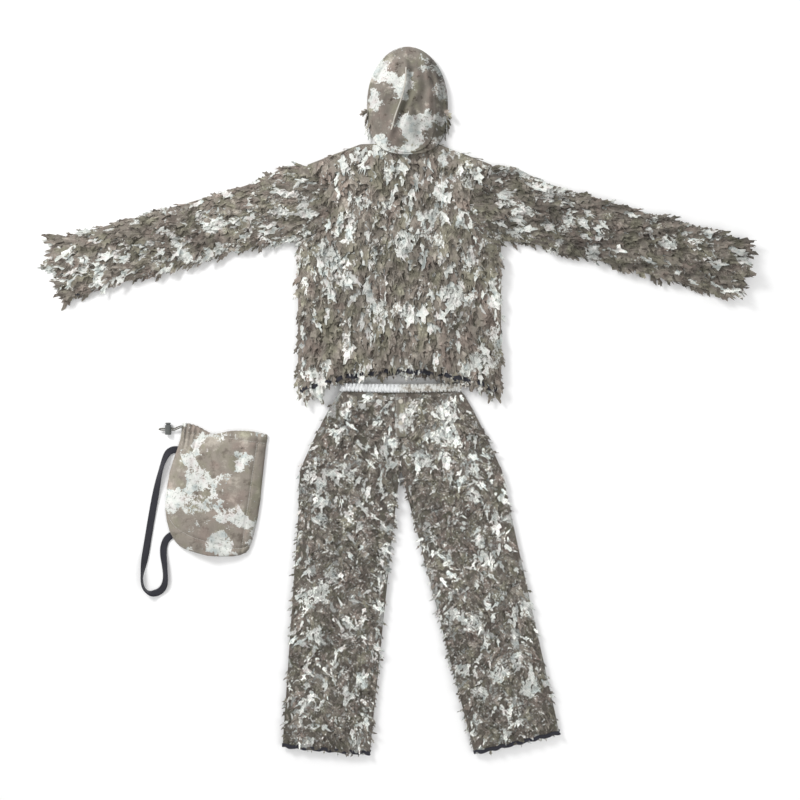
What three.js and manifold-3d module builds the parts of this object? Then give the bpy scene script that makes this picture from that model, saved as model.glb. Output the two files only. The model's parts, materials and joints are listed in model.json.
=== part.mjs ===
// A leafy camouflage suit laid out flat, front side up: hooded jacket, trousers and a drawstring carry bag.
// Millimetres. X runs to the right, Y from the trouser hems to the hood, Z up from the ground.
// The two sleeves and the two legs come from one function, limb(), because each is the same thing: a
// flattened tube with a round head that turns in a round cut-out, an end band, and leafy cloth on its faces.
import * as THREE from 'three';
import { mergeVertices } from 'three/addons/utils/BufferGeometryUtils.js';
import Module from 'manifold-3d';

const wasm = await Module();
wasm.setup();

// ---------------------------------------------------------------- driving dimensions

const seamGap = 0.3; // air between two pieces that are sewn together
const swingGap = 0.8; // air round the heads of the sleeves and legs, which turn
const clothWall = 3; // width of a turned-down cloth edge

// Layers from the ground up: leafy cloth, back cloth, room for the body, front cloth, leafy cloth.
const jacketLayers = { backLeaves: 8, cloth: 2.7, room: 14, frontLeaves: 16.5 };
const sleeveLayers = { backLeaves: 5, cloth: 2.5, room: 10.7, frontLeaves: 14 };
const trouserLayers = { backLeaves: 5, cloth: 2.5, room: 9.2, frontLeaves: 10 };

const chestWidth = 560;
const torsoLength = 640; // hem corner to shoulder tip
const neckWidth = 190;
const hemArch = 56; // how far the middle of the hem rises above its corners
const hemBand = 12; // height of the dark hem elastic
const leafOverhang = 12; // how far ragged leaf tips stand out past the cloth

const sleeveLength = 640; // shoulder point to cuff
const sleeveHead = 108; // radius of the round sleeve head
const sleeveWidth = 164;
const sleeveDrop = 15.5; // degrees below level
const sleeveTips = 62; // leaf tips past the cuff
const armholeDrop = 117; // shoulder tip down to the middle of the armhole
const cuffBand = 12;

const hoodWidth = 224;
const hoodLength = 316;
const hoodOffset = 22; // the hood lies a little to the right of the jacket's middle
const hoodTop = 66; // height of the hood's highest point
const hoodMiddle = 31; // height of its widest level
const hoodCloth = 3;
const hoodBackNeck = 704; // hood's lower edge on the ground, measured from the hem corners
const hoodChin = 644; // hood's lower edge at the chin, the same way
const chinHeight = 48;
const faceWidth = 124;
const faceLength = 176;
const veilLap = 15; // veil past the edge of the face opening
const neckBand = 3;

const zipTape = 11.5;
const zipCoil = 2.5;
const zipSlit = 8; // half the slit between the two front cloths
const zipPost = 1; // half the thickness of the slider's divider
const zipRest = 40; // slider below the top of the zip
const zipStop = 10;

const waistWidth = 330;
const waistBand = 25;
const elasticThickness = 1.4;
const seatLength = 240; // waist to the line of the two hip points
const hipWidth = 540;
const legLength = 766; // hip point to ankle band
const crotchSeam = 5; // half the cloth left between the two round leg tops
const ankleWidth = 242;
const ankleBand = 12;
const leftSplay = 4.9; // degrees outwards
const rightSplay = 13.5;
const crotchDrop = 130; // crotch below the hip points
const flyWidth = 32;
const flyLength = 124;
const nestGap = 9; // waistband below the jacket's hem

const bagWidth = 250;
const bagLength = 320;
const bagDepth = 30;
const bagCloth = 2.5;
const bagCorner = 86;
const bagBase = 62; // height of the bag's base panel
const baseCurve = 300; // how gently the base's seam is curved
const baseRise = 20; // how far the seam's middle rises
const bagCasing = 22;
const bagLean = 8.3; // degrees
const bagSide = 610; // bag's left side, which the strap and the cord leave, to the left of the middle
const bagBelowHem = 100; // hem corners down to the bag's mouth

const strapWidth = 19;
const strapThickness = 2.4;
const cordThickness = 3;
const lockRadius = 8.5;
const lockBore = 6;
const lockTravel = 2.5;

// ---------------------------------------------------------------- shapes and solids

const brown = '#786e62';
const pale = '#cdd7d7';
const dark = '#323238';

function cloth(color, roughness = 0.92) {
  return new THREE.MeshStandardMaterial({ color, roughness, metalness: 0 });
}

function metal(color) {
  return new THREE.MeshStandardMaterial({ color, roughness: 0.35, metalness: 0.9 });
}

/** A closed three.js geometry as a solid that can be joined and cut. */
function solid(geometry) {
  geometry.deleteAttribute('normal');
  geometry.deleteAttribute('uv');
  const merged = mergeVertices(geometry, 1e-4);
  return new wasm.Manifold(new wasm.Mesh({
    numProp: 3,
    vertProperties: new Float32Array(merged.attributes.position.array),
    triVerts: new Uint32Array(merged.index.array),
  }));
}

function mesh(name, body, material) {
  const data = body.getMesh();
  const geometry = new THREE.BufferGeometry();
  geometry.setAttribute('position', new THREE.BufferAttribute(new Float32Array(data.vertProperties), 3));
  geometry.setIndex(new THREE.BufferAttribute(new Uint32Array(data.triVerts), 1));
  geometry.computeVertexNormals();
  const result = new THREE.Mesh(geometry, material);
  result.name = name;
  return result;
}

/** The outline through a list of [x, y] points, raised from z = low to z = high. */
function prism(points, low, high) {
  const shape = new THREE.Shape(points.map(([x, y]) => new THREE.Vector2(x, y)));
  const geometry = new THREE.ExtrudeGeometry(shape, { depth: high - low, bevelEnabled: false });
  geometry.translate(0, 0, low);
  return solid(geometry);
}

function block(x0, x1, y0, y1, z0, z1) {
  const geometry = new THREE.BoxGeometry(x1 - x0, y1 - y0, z1 - z0);
  geometry.translate((x0 + x1) / 2, (y0 + y1) / 2, (z0 + z1) / 2);
  return solid(geometry);
}

/** An upright elliptical post. */
function post(x, y, radiusX, radiusY, low, high, sides = 40) {
  const geometry = new THREE.CylinderGeometry(1, 1, high - low, sides);
  geometry.rotateX(Math.PI / 2);
  geometry.scale(radiusX, radiusY, 1);
  geometry.translate(x, y, (low + high) / 2);
  return solid(geometry);
}

function degrees(angle) {
  return THREE.MathUtils.degToRad(angle);
}

/** A repeatable value from -1 to 1 that differs from step to step. */
function wobble(step, seed) {
  return Math.sin(step * 2.39 + seed * 1.7);
}

/** Heights of the faces of a garment's layers. */
function levels({ backLeaves, cloth: thickness, room, frontLeaves }) {
  const back = backLeaves + seamGap;
  const roomLow = back + thickness;
  const roomHigh = roomLow + room;
  const front = roomHigh + thickness;
  const leaves = front + seamGap;
  return { back, roomLow, roomHigh, front, leaves, top: leaves + frontLeaves, backLeaves };
}

/** Overlapping rows of leaf-cut cloth, lifted at their tips, which point to -Y; x0 to x1, y1 down to y0. */
function leafRows(x0, x1, y0, y1, low, high, rows, tips, seed) {
  const pitch = (y1 - y0) / rows;
  const rowLength = pitch * 1.5;
  const lift = high - low;
  const tilt = Math.atan2(lift * 0.62, rowLength);
  const wide = 4 * (x1 - x0) + 4 * rowLength;
  let layer = null;
  for (let row = 0; row < rows; row += 1) {
    const top = y1 - row * pitch;
    const tipStep = (x1 - x0) / tips;
    const outline = [[x1, top], [x0, top], [x0, top - pitch]];
    for (let tip = 0; tip < tips; tip += 1) {
      const reach = rowLength * (1 + 0.1 * wobble(tip, seed + row));
      outline.push([x0 + (tip + 0.5 + 0.2 * wobble(tip, row)) * tipStep, top - reach]);
      outline.push([x0 + (tip + 1) * tipStep, top - pitch]);
    }
    const above = new THREE.BoxGeometry(wide, wide, lift * 4);
    above.translate(0, 0, lift * 2);
    above.rotateX(-tilt);
    above.translate((x0 + x1) / 2, top, low + lift * 0.38);
    const leaf = prism(outline, low, high).subtract(solid(above));
    layer = layer ? layer.add(leaf) : leaf;
  }
  return layer;
}

/** Points of an arc about a centre, from one angle to another. */
function arc(x, y, radius, start, end, steps) {
  const points = [];
  for (let step = 0; step <= steps; step += 1) {
    const angle = degrees(start + ((end - start) * step) / steps);
    points.push([x + radius * Math.cos(angle), y + radius * Math.sin(angle)]);
  }
  return points;
}

/** A ragged line of leaf tips between two points, standing out to the line's right-hand side. */
function ragged([x0, y0], [x1, y1], tips, reach, seed) {
  const length = Math.hypot(x1 - x0, y1 - y0);
  const outX = (y1 - y0) / length;
  const outY = -(x1 - x0) / length;
  const points = [[x0, y0]];
  for (let tip = 0; tip < tips; tip += 1) {
    const at = (tip + 0.5) / tips;
    const out = reach * (0.75 + 0.25 * wobble(tip, seed));
    points.push([x0 + at * (x1 - x0) + out * outX, y0 + at * (y1 - y0) + out * outY]);
    if (tip < tips - 1) {
      const notch = (tip + 1) / tips;
      points.push([x0 + notch * (x1 - x0) + 0.2 * out * outX, y0 + notch * (y1 - y0) + 0.2 * out * outY]);
    }
  }
  points.push([x1, y1]);
  return points;
}

// ---------------------------------------------------------------- limbs: sleeves and legs

/**
 * A flattened tube that hangs towards -Y from a round head at the origin. `wide` is its half width below the
 * head and `end` at its far end; `shoulder` is the distance over which the head narrows to `wide`.
 */
function limb({
  name, head, shoulder, wide, end, length, band, tips, overhang, layers, rows, leafTips, seed,
}) {
  const z = levels(layers);
  const group = new THREE.Group();
  const beyond = length + band + tips;
  const tube = prism([
    ...arc(0, 0, head, 0, 180, 20), [-wide, -shoulder], [-end, -length], [end, -length], [wide, -shoulder],
  ], z.back, z.front);
  const hollow = prism([
    [wide - clothWall, head + 5], [-(wide - clothWall), head + 5], [-(wide - clothWall), -shoulder],
    [-(end - clothWall), -length - 5], [end - clothWall, -length - 5], [wide - clothWall, -shoulder],
  ], z.roomLow, z.roomHigh);
  group.add(mesh(`${name}_tube`, tube.subtract(hollow), cloth(brown)));

  const bandOuter = block(-end, end, -length - band, -length - seamGap, z.back, z.front);
  const bandRoom = end - clothWall;
  const bandInner = block(-bandRoom, bandRoom, -length - band - 5, -length + 5, z.roomLow, z.roomHigh);
  group.add(mesh(`${name}_end_elastic`, bandOuter.subtract(bandInner), cloth(dark, 0.8)));

  const loose = shoulder * 1.15; // where the ragged tips may start to stand out
  const at = (s) => wide + ((end - wide) * (s - shoulder)) / (length - shoulder);
  const stop = beyond - (tips > 0 ? tips * 0.45 : band + seamGap);
  const leafOutline = [
    ...arc(0, 0, head, 0, 180, 20), [-wide, -shoulder],
    ...ragged([-at(loose), -loose], [-at(length), -stop], 9, overhang, seed),
    ...ragged([-at(length), -stop], [at(length), -stop], 6, tips * 0.45, seed + 3),
    ...ragged([at(length), -stop], [at(loose), -loose], 9, overhang, seed + 5),
    [wide, -shoulder],
  ].filter(([x, y], index, all) => (
    index === 0 || Math.hypot(x - all[index - 1][0], y - all[index - 1][1]) > 0.01
  ));
  group.add(mesh(`${name}_back_leaves`, prism(leafOutline, 0, z.backLeaves), cloth(brown)));
  const reach = Math.max(head, wide) + overhang;
  const rowsFront = leafRows(-reach, reach, -beyond, head, z.leaves, z.top, rows, leafTips, seed);
  const clip = prism(leafOutline, z.leaves - 1, z.top + 1);
  group.add(mesh(`${name}_front_leaves`, rowsFront.intersect(clip), cloth(brown)));
  return group;
}

// ---------------------------------------------------------------- jacket

const jacket = levels(jacketLayers);
const halfChest = chestWidth / 2;
const shoulderX = halfChest + 10; // middle of the armhole, where the sleeve turns
const shoulderY = torsoLength - armholeDrop;
const hoodY = hoodChin + hoodLength / 2;

function hemY(x) {
  return hemArch * (1 - (x / halfChest) ** 2);
}

/** Where the hood's slanted lower end stands at a height above the ground. */
function neckSeamY(height) {
  return hoodBackNeck - ((hoodBackNeck - hoodChin) * height) / chinHeight;
}

const backNeckY = neckSeamY(jacket.roomLow) - 0.8;

/** Hem line from the left corner to the right corner, raised by `lift`. */
function hemLine(lift, inset = 0) {
  const points = [];
  const steps = 14;
  for (let step = 0; step <= steps; step += 1) {
    const x = (halfChest - inset) * ((2 * step) / steps - 1);
    points.push([x, hemY(x) + lift]);
  }
  return points;
}

function torsoOutline(inset) {
  const side = halfChest - inset;
  return [
    ...hemLine(hemBand + seamGap, inset),
    [side, torsoLength - inset], [neckWidth / 2, backNeckY], [-neckWidth / 2, backNeckY],
    [-side, torsoLength - inset],
  ];
}

/** The torso's leafy outline, ragged down the sides and at the hem corners. */
function torsoLeafOutline() {
  const looseTop = shoulderY - sleeveHead - 60;
  const corner = halfChest * 0.8;
  const hemInside = hemLine(-2, halfChest - corner);
  const low = -leafOverhang * 1.5;
  return [
    [-halfChest, low + 12], [-halfChest * 0.95, low], [-halfChest * 0.88, low + 16],
    [-halfChest * 0.84, low + 6],
    ...hemInside,
    [halfChest * 0.84, low + 6], [halfChest * 0.88, low + 16], [halfChest * 0.95, low],
    ...ragged([halfChest, low + 12], [halfChest, looseTop], 9, leafOverhang, 2),
    [halfChest, torsoLength], [neckWidth / 2, backNeckY], [-neckWidth / 2, backNeckY],
    [-halfChest, torsoLength],
    ...ragged([-halfChest, looseTop], [-halfChest, low + 12], 9, leafOverhang, 7).slice(0, -1),
  ];
}

function cutArmholes(body) {
  let result = body;
  for (const side of [-1, 1]) {
    const radius = sleeveHead + swingGap;
    result = result.subtract(post(side * shoulderX, shoulderY, radius, radius, -5, jacket.top + 5, 48));
  }
  return result;
}

function neckCut(clearance) {
  const high = jacket.top + 10;
  const radiusX = hoodWidth / 2 + clearance;
  const radiusY = hoodLength / 2 + clearance;
  return post(hoodOffset, hoodY, radiusX, radiusY, jacket.roomLow + 1, high);
}

/** Everything on one side of the jacket's middle, outside `inner`. */
function keepSide(body, side, inner) {
  const far = chestWidth * 2;
  const across = side > 0
    ? block(-far, inner, -far, far * 2, -20, 200)
    : block(-inner, far, -far, far * 2, -20, 200);
  return body.subtract(across);
}

const bindingClearance = 3.4; // the hood's veil passes inside the neck binding
const neckClearance = bindingClearance + neckBand + seamGap;

function torso() {
  const group = new THREE.Group();
  const back = prism(torsoOutline(0), jacket.back, jacket.roomLow);
  group.add(mesh('jacket_back_panel', cutArmholes(back), cloth(brown)));
  const backLeaves = cutArmholes(prism(torsoLeafOutline(), 0, jacket.backLeaves));
  group.add(mesh('jacket_back_leaves', backLeaves, cloth(brown)));

  const shell = prism(torsoOutline(0), jacket.roomLow + seamGap, jacket.front);
  const room = prism(hemLine(-40, clothWall).concat([
    [halfChest - clothWall, torsoLength - clothWall], [neckWidth / 2, backNeckY - clothWall],
    [neckWidth / 2 - 5, backNeckY + 60], [-neckWidth / 2 + 5, backNeckY + 60],
    [-neckWidth / 2, backNeckY - clothWall], [clothWall - halfChest, torsoLength - clothWall],
  ]), jacket.roomLow - 1, jacket.roomHigh);
  const front = cutArmholes(shell.subtract(room)).subtract(neckCut(neckClearance));
  const leafLow = -leafOverhang * 2;
  const reach = halfChest + leafOverhang;
  const leafClip = cutArmholes(prism(torsoLeafOutline(), jacket.leaves - 1, jacket.top + 1))
    .subtract(neckCut(neckClearance));
  for (const [side, word] of [[-1, 'left'], [1, 'right']]) {
    group.add(mesh(`jacket_front_${word}`, keepSide(front, side, zipSlit), cloth(brown)));
    const inner = zipPost + 0.5 + zipTape + 1;
    const [x0, x1] = side > 0 ? [inner, reach] : [-reach, -inner];
    const rows = leafRows(x0, x1, leafLow, backNeckY, jacket.leaves, jacket.top, 7, 7, side + 4);
    group.add(mesh(`jacket_front_leaves_${word}`, rows.intersect(leafClip), cloth(brown)));
  }

  const hemOuter = prism([...hemLine(0), ...hemLine(hemBand).reverse()], jacket.back, jacket.front);
  const hemInner = prism(
    [...hemLine(-20, clothWall), ...hemLine(hemBand + 20, clothWall).reverse()],
    jacket.roomLow, jacket.roomHigh,
  );
  const hemSlit = block(
    -zipSlit, zipSlit, hemArch - 30, hemArch + 30, jacket.roomHigh - 1, jacket.front + 1,
  );
  group.add(mesh('jacket_hem_elastic', hemOuter.subtract(hemInner).subtract(hemSlit), cloth(dark, 0.8)));

  const bindingOuter = neckCut(neckClearance - seamGap);
  const bindingBelow = block(-300, 300, -100, 2000, -10, jacket.roomHigh);
  const bindingAbove = block(-300, 300, -100, 2000, jacket.top, 200);
  const bindingBehind = block(-300, 300, backNeckY, 2000, -10, 200);
  const binding = bindingOuter.subtract(neckCut(bindingClearance)).subtract(bindingBelow)
    .subtract(bindingAbove).subtract(bindingBehind);
  group.add(mesh('neck_binding', binding, cloth(dark, 0.85)));
  return group;
}

// ---------------------------------------------------------------- front zip

const neckRadiusY = hoodLength / 2 + neckClearance;
const neckRadiusX = hoodWidth / 2 + neckClearance;
const zipFromHood = Math.max(0, hoodOffset - zipTape); // the neckline dips towards the hood's middle
const zipTop = hoodY - neckRadiusY * Math.sqrt(1 - (zipFromHood / neckRadiusX) ** 2) - 1;
const zipBottom = hemArch + hemBand + seamGap * 2;
const coilTop = jacket.leaves + 3;
const coilEdge = zipPost + 0.5;

function zip() {
  const group = new THREE.Group();
  const low = zipBottom + zipStop + seamGap;
  const high = zipTop - 4;
  for (const [side, word] of [[-1, 'left'], [1, 'right']]) {
    const spans = [
      [coilEdge, coilEdge + zipTape, 1.2],
      [coilEdge, coilEdge + zipCoil, coilTop - jacket.leaves],
    ];
    const [tape, coil] = spans.map(([near, far, height]) => {
      const [x0, x1] = side > 0 ? [near, far] : [-far, -near];
      return block(x0, x1, low, high, jacket.leaves, jacket.leaves + height);
    });
    group.add(mesh(`zip_tape_${word}`, tape.add(coil), cloth('#3a3832', 0.7)));
    const [x0, x1] = side > 0 ? [coilEdge, coilEdge + 3] : [-coilEdge - 3, -coilEdge];
    group.add(mesh(`zip_top_stop_${word}`, block(x0, x1, high + seamGap, zipTop, jacket.leaves, coilTop),
      metal('#6d6a62')));
  }
  const stop = block(-5, 5, zipBottom, zipBottom + zipStop, jacket.roomHigh, coilTop);
  group.add(mesh('zip_bottom_stop', stop, metal('#6d6a62')));
  return group;
}

const sliderY = zipTop - zipRest;
const sliderTop = coilTop + seamGap + 1.7;
const pullAxis = sliderTop + 2.3;

function zipSlider() {
  const lower = block(-6, 6, sliderY - 6, sliderY + 6, jacket.leaves - 2.1, jacket.leaves - 0.4);
  const upper = block(-6, 6, sliderY - 6, sliderY + 6, coilTop + seamGap, sliderTop);
  const divider = block(-zipPost, zipPost, sliderY + 1, sliderY + 5, jacket.leaves - 1, coilTop + 1);
  const bridge = block(-1.6, 1.6, sliderY - 3.5, sliderY + 3.5, sliderTop - 0.5, sliderTop + 4.6);
  const eye = block(-3, 3, sliderY - 1.4, sliderY + 1.4, pullAxis - 1.4, pullAxis + 1.4);
  return mesh('zip_slider', lower.add(upper).add(divider).add(bridge).subtract(eye), metal('#6d6a62'));
}

function zipPull() {
  const half = 0.7;
  const plate = block(-3.6, 3.6, sliderY - 34, sliderY + 1.2, pullAxis - half, pullAxis + half);
  const window = block(-2.3, 2.3, sliderY - 6.5, sliderY - half, pullAxis - 3, pullAxis + 3);
  const notch = block(-2.3, 2.3, sliderY + half, sliderY + 3, pullAxis - 3, pullAxis + 3);
  const grip = block(-2, 2, sliderY - 30, sliderY - 20, pullAxis - 3, pullAxis + 3);
  return mesh('zip_pull', plate.subtract(window).subtract(notch).subtract(grip), metal('#6d6a62'));
}

// ---------------------------------------------------------------- hood

/** The hood's egg, grown or shrunk by `offset`, with its ground side cut flat at `ground`. */
function egg(offset, ground) {
  const geometry = new THREE.SphereGeometry(1, 24, 12);
  geometry.rotateX(Math.PI / 2);
  geometry.scale(hoodWidth / 2 + offset, hoodLength / 2 + offset, hoodTop - hoodMiddle + offset);
  geometry.translate(hoodOffset, hoodY, hoodMiddle);
  return solid(geometry).subtract(block(-500, 500, 0, 2000, -200, ground));
}

/** The space on the jacket's side of the hood's slanted lower end. */
function belowNeck() {
  const far = 400;
  const slope = (hoodBackNeck - hoodChin) / chinHeight;
  return prism([
    [hoodBackNeck + slope * 60, -60], [hoodBackNeck - slope * far, far], [-far, far], [-far, -60],
  ], -600, 600).rotate([90, 0, 90]);
}

function hood() {
  const group = new THREE.Group();
  const below = belowNeck();
  const faceY = hoodY - 16;
  const high = hoodTop + 20;
  const facePost = (grow) => (
    post(hoodOffset, faceY, faceWidth / 2 + grow, faceLength / 2 + grow, hoodMiddle, high)
  );
  const shell = egg(0, 0).subtract(egg(-hoodCloth, hoodCloth)).subtract(below).subtract(facePost(0));
  for (const [side, word] of [[-1, 'left'], [1, 'right']]) {
    const edge = hoodOffset + (side * seamGap) / 2;
    const other = side > 0 ? block(-600, edge, 0, 2000, -50, 300) : block(edge, 600, 0, 2000, -50, 300);
    group.add(mesh(`hood_shell_${word}`, shell.subtract(other), cloth(brown)));
  }
  const veilPost = post(hoodOffset, faceY - 12, faceWidth / 2 + veilLap, faceLength / 2 + veilLap + 14,
    hoodMiddle, high);
  const veil = egg(2.6, 0).subtract(egg(0.6, 0)).intersect(veilPost).subtract(below);
  group.add(mesh('face_veil', veil, cloth(pale)));
  const rimWall = egg(-seamGap, 0).subtract(egg(-hoodCloth - 1, 0));
  const rim = rimWall.intersect(facePost(-seamGap)).subtract(facePost(-5));
  group.add(mesh('face_opening_binding', rim.subtract(below), cloth(dark, 0.8)));

  for (const [side, word] of [[-1, 'left'], [1, 'right']]) {
    const outline = [];
    const tips = 4;
    for (let step = 0; step <= 2 * tips; step += 1) {
      const angle = degrees(-42 + (34 * step) / (2 * tips));
      const out = step % 2 ? 13 + 2 * wobble(step, side + 2) : 4;
      outline.push([
        hoodOffset + side * (hoodWidth / 2 + out) * Math.cos(angle),
        hoodY + (hoodLength / 2 + out) * Math.sin(angle),
      ]);
    }
    outline.push([hoodOffset + side * hoodWidth * 0.3, hoodY - hoodLength * 0.05]);
    const order = side > 0 ? outline : outline.reverse();
    const fringe = prism(order, 2, hoodMiddle).subtract(egg(0.5, -10)).subtract(below);
    group.add(mesh(`hood_leaf_fringe_${word}`, fringe, cloth(brown)));
  }
  return group;
}

// ---------------------------------------------------------------- trousers

const trouser = levels(trouserLayers);
const legHead = hipWidth / 4 - crotchSeam; // radius of the round top of a leg
const hipX = hipWidth / 2 - legHead; // hip points, where the legs turn
const crotchNeck = hipX - legHead - swingGap - 1; // half the cloth between the legs

function seatOutline(inset) {
  const waist = waistWidth / 2 - inset;
  const hip = hipWidth / 2 - inset;
  const low = -seatLength + 8;
  const top = -waistBand - seamGap;
  const thigh = waist + (hip - waist) * 0.7;
  const flank = waist + (hip - waist) * 0.36;
  const crotch = -seatLength - crotchDrop;
  return [
    [-waist, top], [-flank, -seatLength * 0.25], [-thigh, -seatLength * 0.54], [-hip, low],
    [-crotchNeck, low], [-crotchNeck - 1, crotch], [crotchNeck + 12, crotch], [crotchNeck, low],
    [hip, low], [thigh, -seatLength * 0.54], [flank, -seatLength * 0.25], [waist, top],
  ];
}

function cutHips(body) {
  let result = body;
  for (const side of [-1, 1]) {
    const radius = legHead + swingGap;
    result = result.subtract(post(side * hipX, -seatLength, radius, radius, -5, trouser.top + 5, 48));
  }
  return result;
}

/** A flattened ring of band cloth round the waist, `inset` in from the outside on every wall. */
function waistRing(inset, thickness, y0, y1) {
  const half = waistWidth / 2 - inset;
  const low = trouser.back - 0.8 + inset;
  const high = trouser.front + 0.8 - inset;
  const outer = block(-half, half, y0, y1, low, high);
  const inner = block(
    -half + thickness, half - thickness, y0 - 5, y1 + 5, low + thickness, high - thickness,
  );
  return outer.subtract(inner);
}

function trousers() {
  const group = new THREE.Group();
  const back = cutHips(prism(seatOutline(0), trouser.back, trouser.roomLow));
  const shell = prism(seatOutline(0), trouser.roomLow + seamGap, trouser.front);
  const waist = waistWidth / 2 - clothWall;
  const room = prism([
    [-waist, 10], [-waist, -waistBand], ...seatOutline(clothWall).slice(0, 3),
    [-hipWidth / 2 + clothWall, -seatLength],
    [-20, -seatLength - crotchDrop - 5], [20, -seatLength - crotchDrop - 5],
    [hipWidth / 2 - clothWall, -seatLength],
    ...seatOutline(clothWall).slice(9), [waist, -waistBand], [waist, 10],
  ], trouser.roomLow - 1, trouser.roomHigh);
  const front = cutHips(shell.subtract(room));
  const flyHalf = flyWidth / 2;
  for (const [side, word] of [[-1, 'left'], [1, 'right']]) {
    group.add(mesh(`seat_back_${word}`, keepSide(back, side, seamGap / 2), cloth(brown)));
    group.add(mesh(`seat_front_${word}`, keepSide(front, side, seamGap / 2), cloth(brown)));
    const reach = hipWidth / 2 + leafOverhang;
    const [x0, x1] = side > 0 ? [flyHalf + 1, reach] : [-reach, -flyHalf - 1];
    const rows = leafRows(
      x0, x1, -seatLength, -waistBand - seamGap, trouser.leaves, trouser.top, 3, 6, side + 9,
    );
    const clip = cutHips(prism(seatOutline(0), trouser.leaves - 1, trouser.top + 1));
    group.add(mesh(`seat_front_leaves_${word}`, rows.intersect(clip), cloth(brown)));
  }
  group.add(mesh('seat_back_leaves', cutHips(prism(seatOutline(0), 0, trouser.backLeaves)), cloth(brown)));

  const wall = elasticThickness + 2 * seamGap + 2;
  const groove = elasticThickness + 2 * seamGap;
  const casing = waistRing(0, wall, -waistBand, 0).subtract(waistRing(1, groove, -waistBand - 5, -4));
  group.add(mesh('waistband_casing', casing, cloth('#e4e6e4')));
  const elastic = waistRing(1 + seamGap, elasticThickness, -waistBand + seamGap, -4 - seamGap);
  group.add(mesh('waist_elastic', elastic, cloth('#f2f2f0', 0.8)));

  const flyTop = -waistBand - seamGap;
  const fly = block(-flyHalf, flyHalf, flyTop - flyLength, flyTop, trouser.leaves, trouser.leaves + 1.5);
  group.add(mesh('fly_placket', fly, cloth(brown)));
  for (const [number, share] of [[1, 0.2], [2, 0.68]]) {
    const base = trouser.leaves + 1.5 + seamGap;
    const button = post(0, flyTop - flyLength * share, 6.5, 6.5, base, base + 2.5, 20);
    group.add(mesh(`fly_button_${number}`, button, cloth('#b9b5aa', 0.4)));
  }
  return group;
}

// ---------------------------------------------------------------- carry bag

/** The bag's outline with round lower corners; its mouth is at y = 0. */
function bagOutline(inset, mouth) {
  const half = bagWidth / 2 - inset;
  const radius = bagCorner - inset;
  const low = -bagLength + inset + radius;
  return [
    [-half, mouth], ...arc(-half + radius, low, radius, 180, 270, 8),
    ...arc(half - radius, low, radius, 270, 360, 8),
    [half, mouth],
  ];
}

/** A cushion-shaped body on the bag's outline, `inset` in from the outside, open-topped up to `mouth`. */
function bagBody(inset, mouth) {
  const bevel = bagDepth * 0.4;
  const outline = bagOutline(inset + bevel, mouth - bevel).map(([x, y]) => new THREE.Vector2(x, y));
  const shape = new THREE.Shape(outline);
  const geometry = new THREE.ExtrudeGeometry(shape, {
    depth: bagDepth - 2 * bevel - 2 * inset,
    bevelEnabled: true,
    bevelSize: bevel,
    bevelThickness: bevel,
    bevelSegments: 2,
  });
  geometry.translate(0, 0, bevel + inset);
  return solid(geometry);
}

const casingLow = 2;
const casingHigh = 24;
const casingMiddle = (casingLow + casingHigh) / 2;
const bagHalf = bagDepth / 2;

/** A flattened ring at the bag's mouth. */
function mouthRing(inset, thickness, y0, y1) {
  const half = bagWidth / 2 - 6 - inset;
  const outer = block(-half, half, y0, y1, casingLow + inset, casingHigh - inset);
  const inner = block(-half + thickness, half - thickness, y0 - 5, y1 + 5,
    casingLow + inset + thickness, casingHigh - inset - thickness);
  return outer.subtract(inner);
}

function bag() {
  const group = new THREE.Group();
  const body = bagBody(0, 40).subtract(bagBody(bagCloth, 60)).subtract(block(-400, 400, 0, 200, -20, 100));
  const baseLine = -bagLength + bagBase;
  const belowArc = (gap) => prism([
    ...arc(0, baseLine - baseCurve, baseCurve + baseRise + gap, 65, 115, 12),
    [-bagWidth, -bagLength * 2], [bagWidth, -bagLength * 2],
  ], -20, 100);
  const baseZone = belowArc(0);
  const aboveBase = belowArc(seamGap);
  group.add(mesh('bag_base_panel', body.intersect(baseZone), cloth(brown)));
  const walls = body.subtract(aboveBase);
  const aboveMiddle = block(-400, 400, -800, 200, bagHalf - seamGap / 2, 200);
  const belowMiddle = block(-400, 400, -800, 200, -50, bagHalf + seamGap / 2);
  group.add(mesh('bag_back_panel', walls.subtract(aboveMiddle), cloth(brown)));
  group.add(mesh('bag_front_panel', walls.subtract(belowMiddle), cloth(brown)));

  const channel = cordThickness + 1;
  const wall = channel + 2.4;
  const top = bagCasing + seamGap;
  const exit = block(
    -bagWidth / 2 - 5, -bagWidth / 2 + 6 + wall, seamGap + 6, seamGap + 16,
    casingMiddle - 4, casingMiddle + 4,
  );
  const tunnel = mouthRing(1.2, channel, seamGap + 9, seamGap + 13);
  const casing = mouthRing(0, wall, seamGap, top).subtract(tunnel).subtract(exit);
  group.add(mesh('mouth_casing', casing, cloth(brown)));
  const cord = mouthRing(1.7, cordThickness, seamGap + 9.5, seamGap + 12.5);
  group.add(mesh('drawcord_in_casing', cord, cloth('#55534b')));
  return group;
}

/** A flexible band or cord: a flattened section, `across` wide and `thick` high, carried along a curve. */
function strip(points, across, thick, steps) {
  const curve = new THREE.CatmullRomCurve3(points.map(([x, y, z]) => new THREE.Vector3(x, y, z)));
  const section = new THREE.Shape();
  for (let corner = 0; corner < 8; corner += 1) {
    const angle = degrees(22.5 + 45 * corner);
    const grow = 1 / Math.cos(degrees(22.5));
    const x = (thick / 2) * grow * Math.cos(angle);
    const y = (across / 2) * grow * Math.sin(angle);
    if (corner === 0) section.moveTo(x, y);
    else section.lineTo(x, y);
  }
  section.closePath();
  return solid(new THREE.ExtrudeGeometry(section, { steps, bevelEnabled: false, extrudePath: curve }));
}

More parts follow.
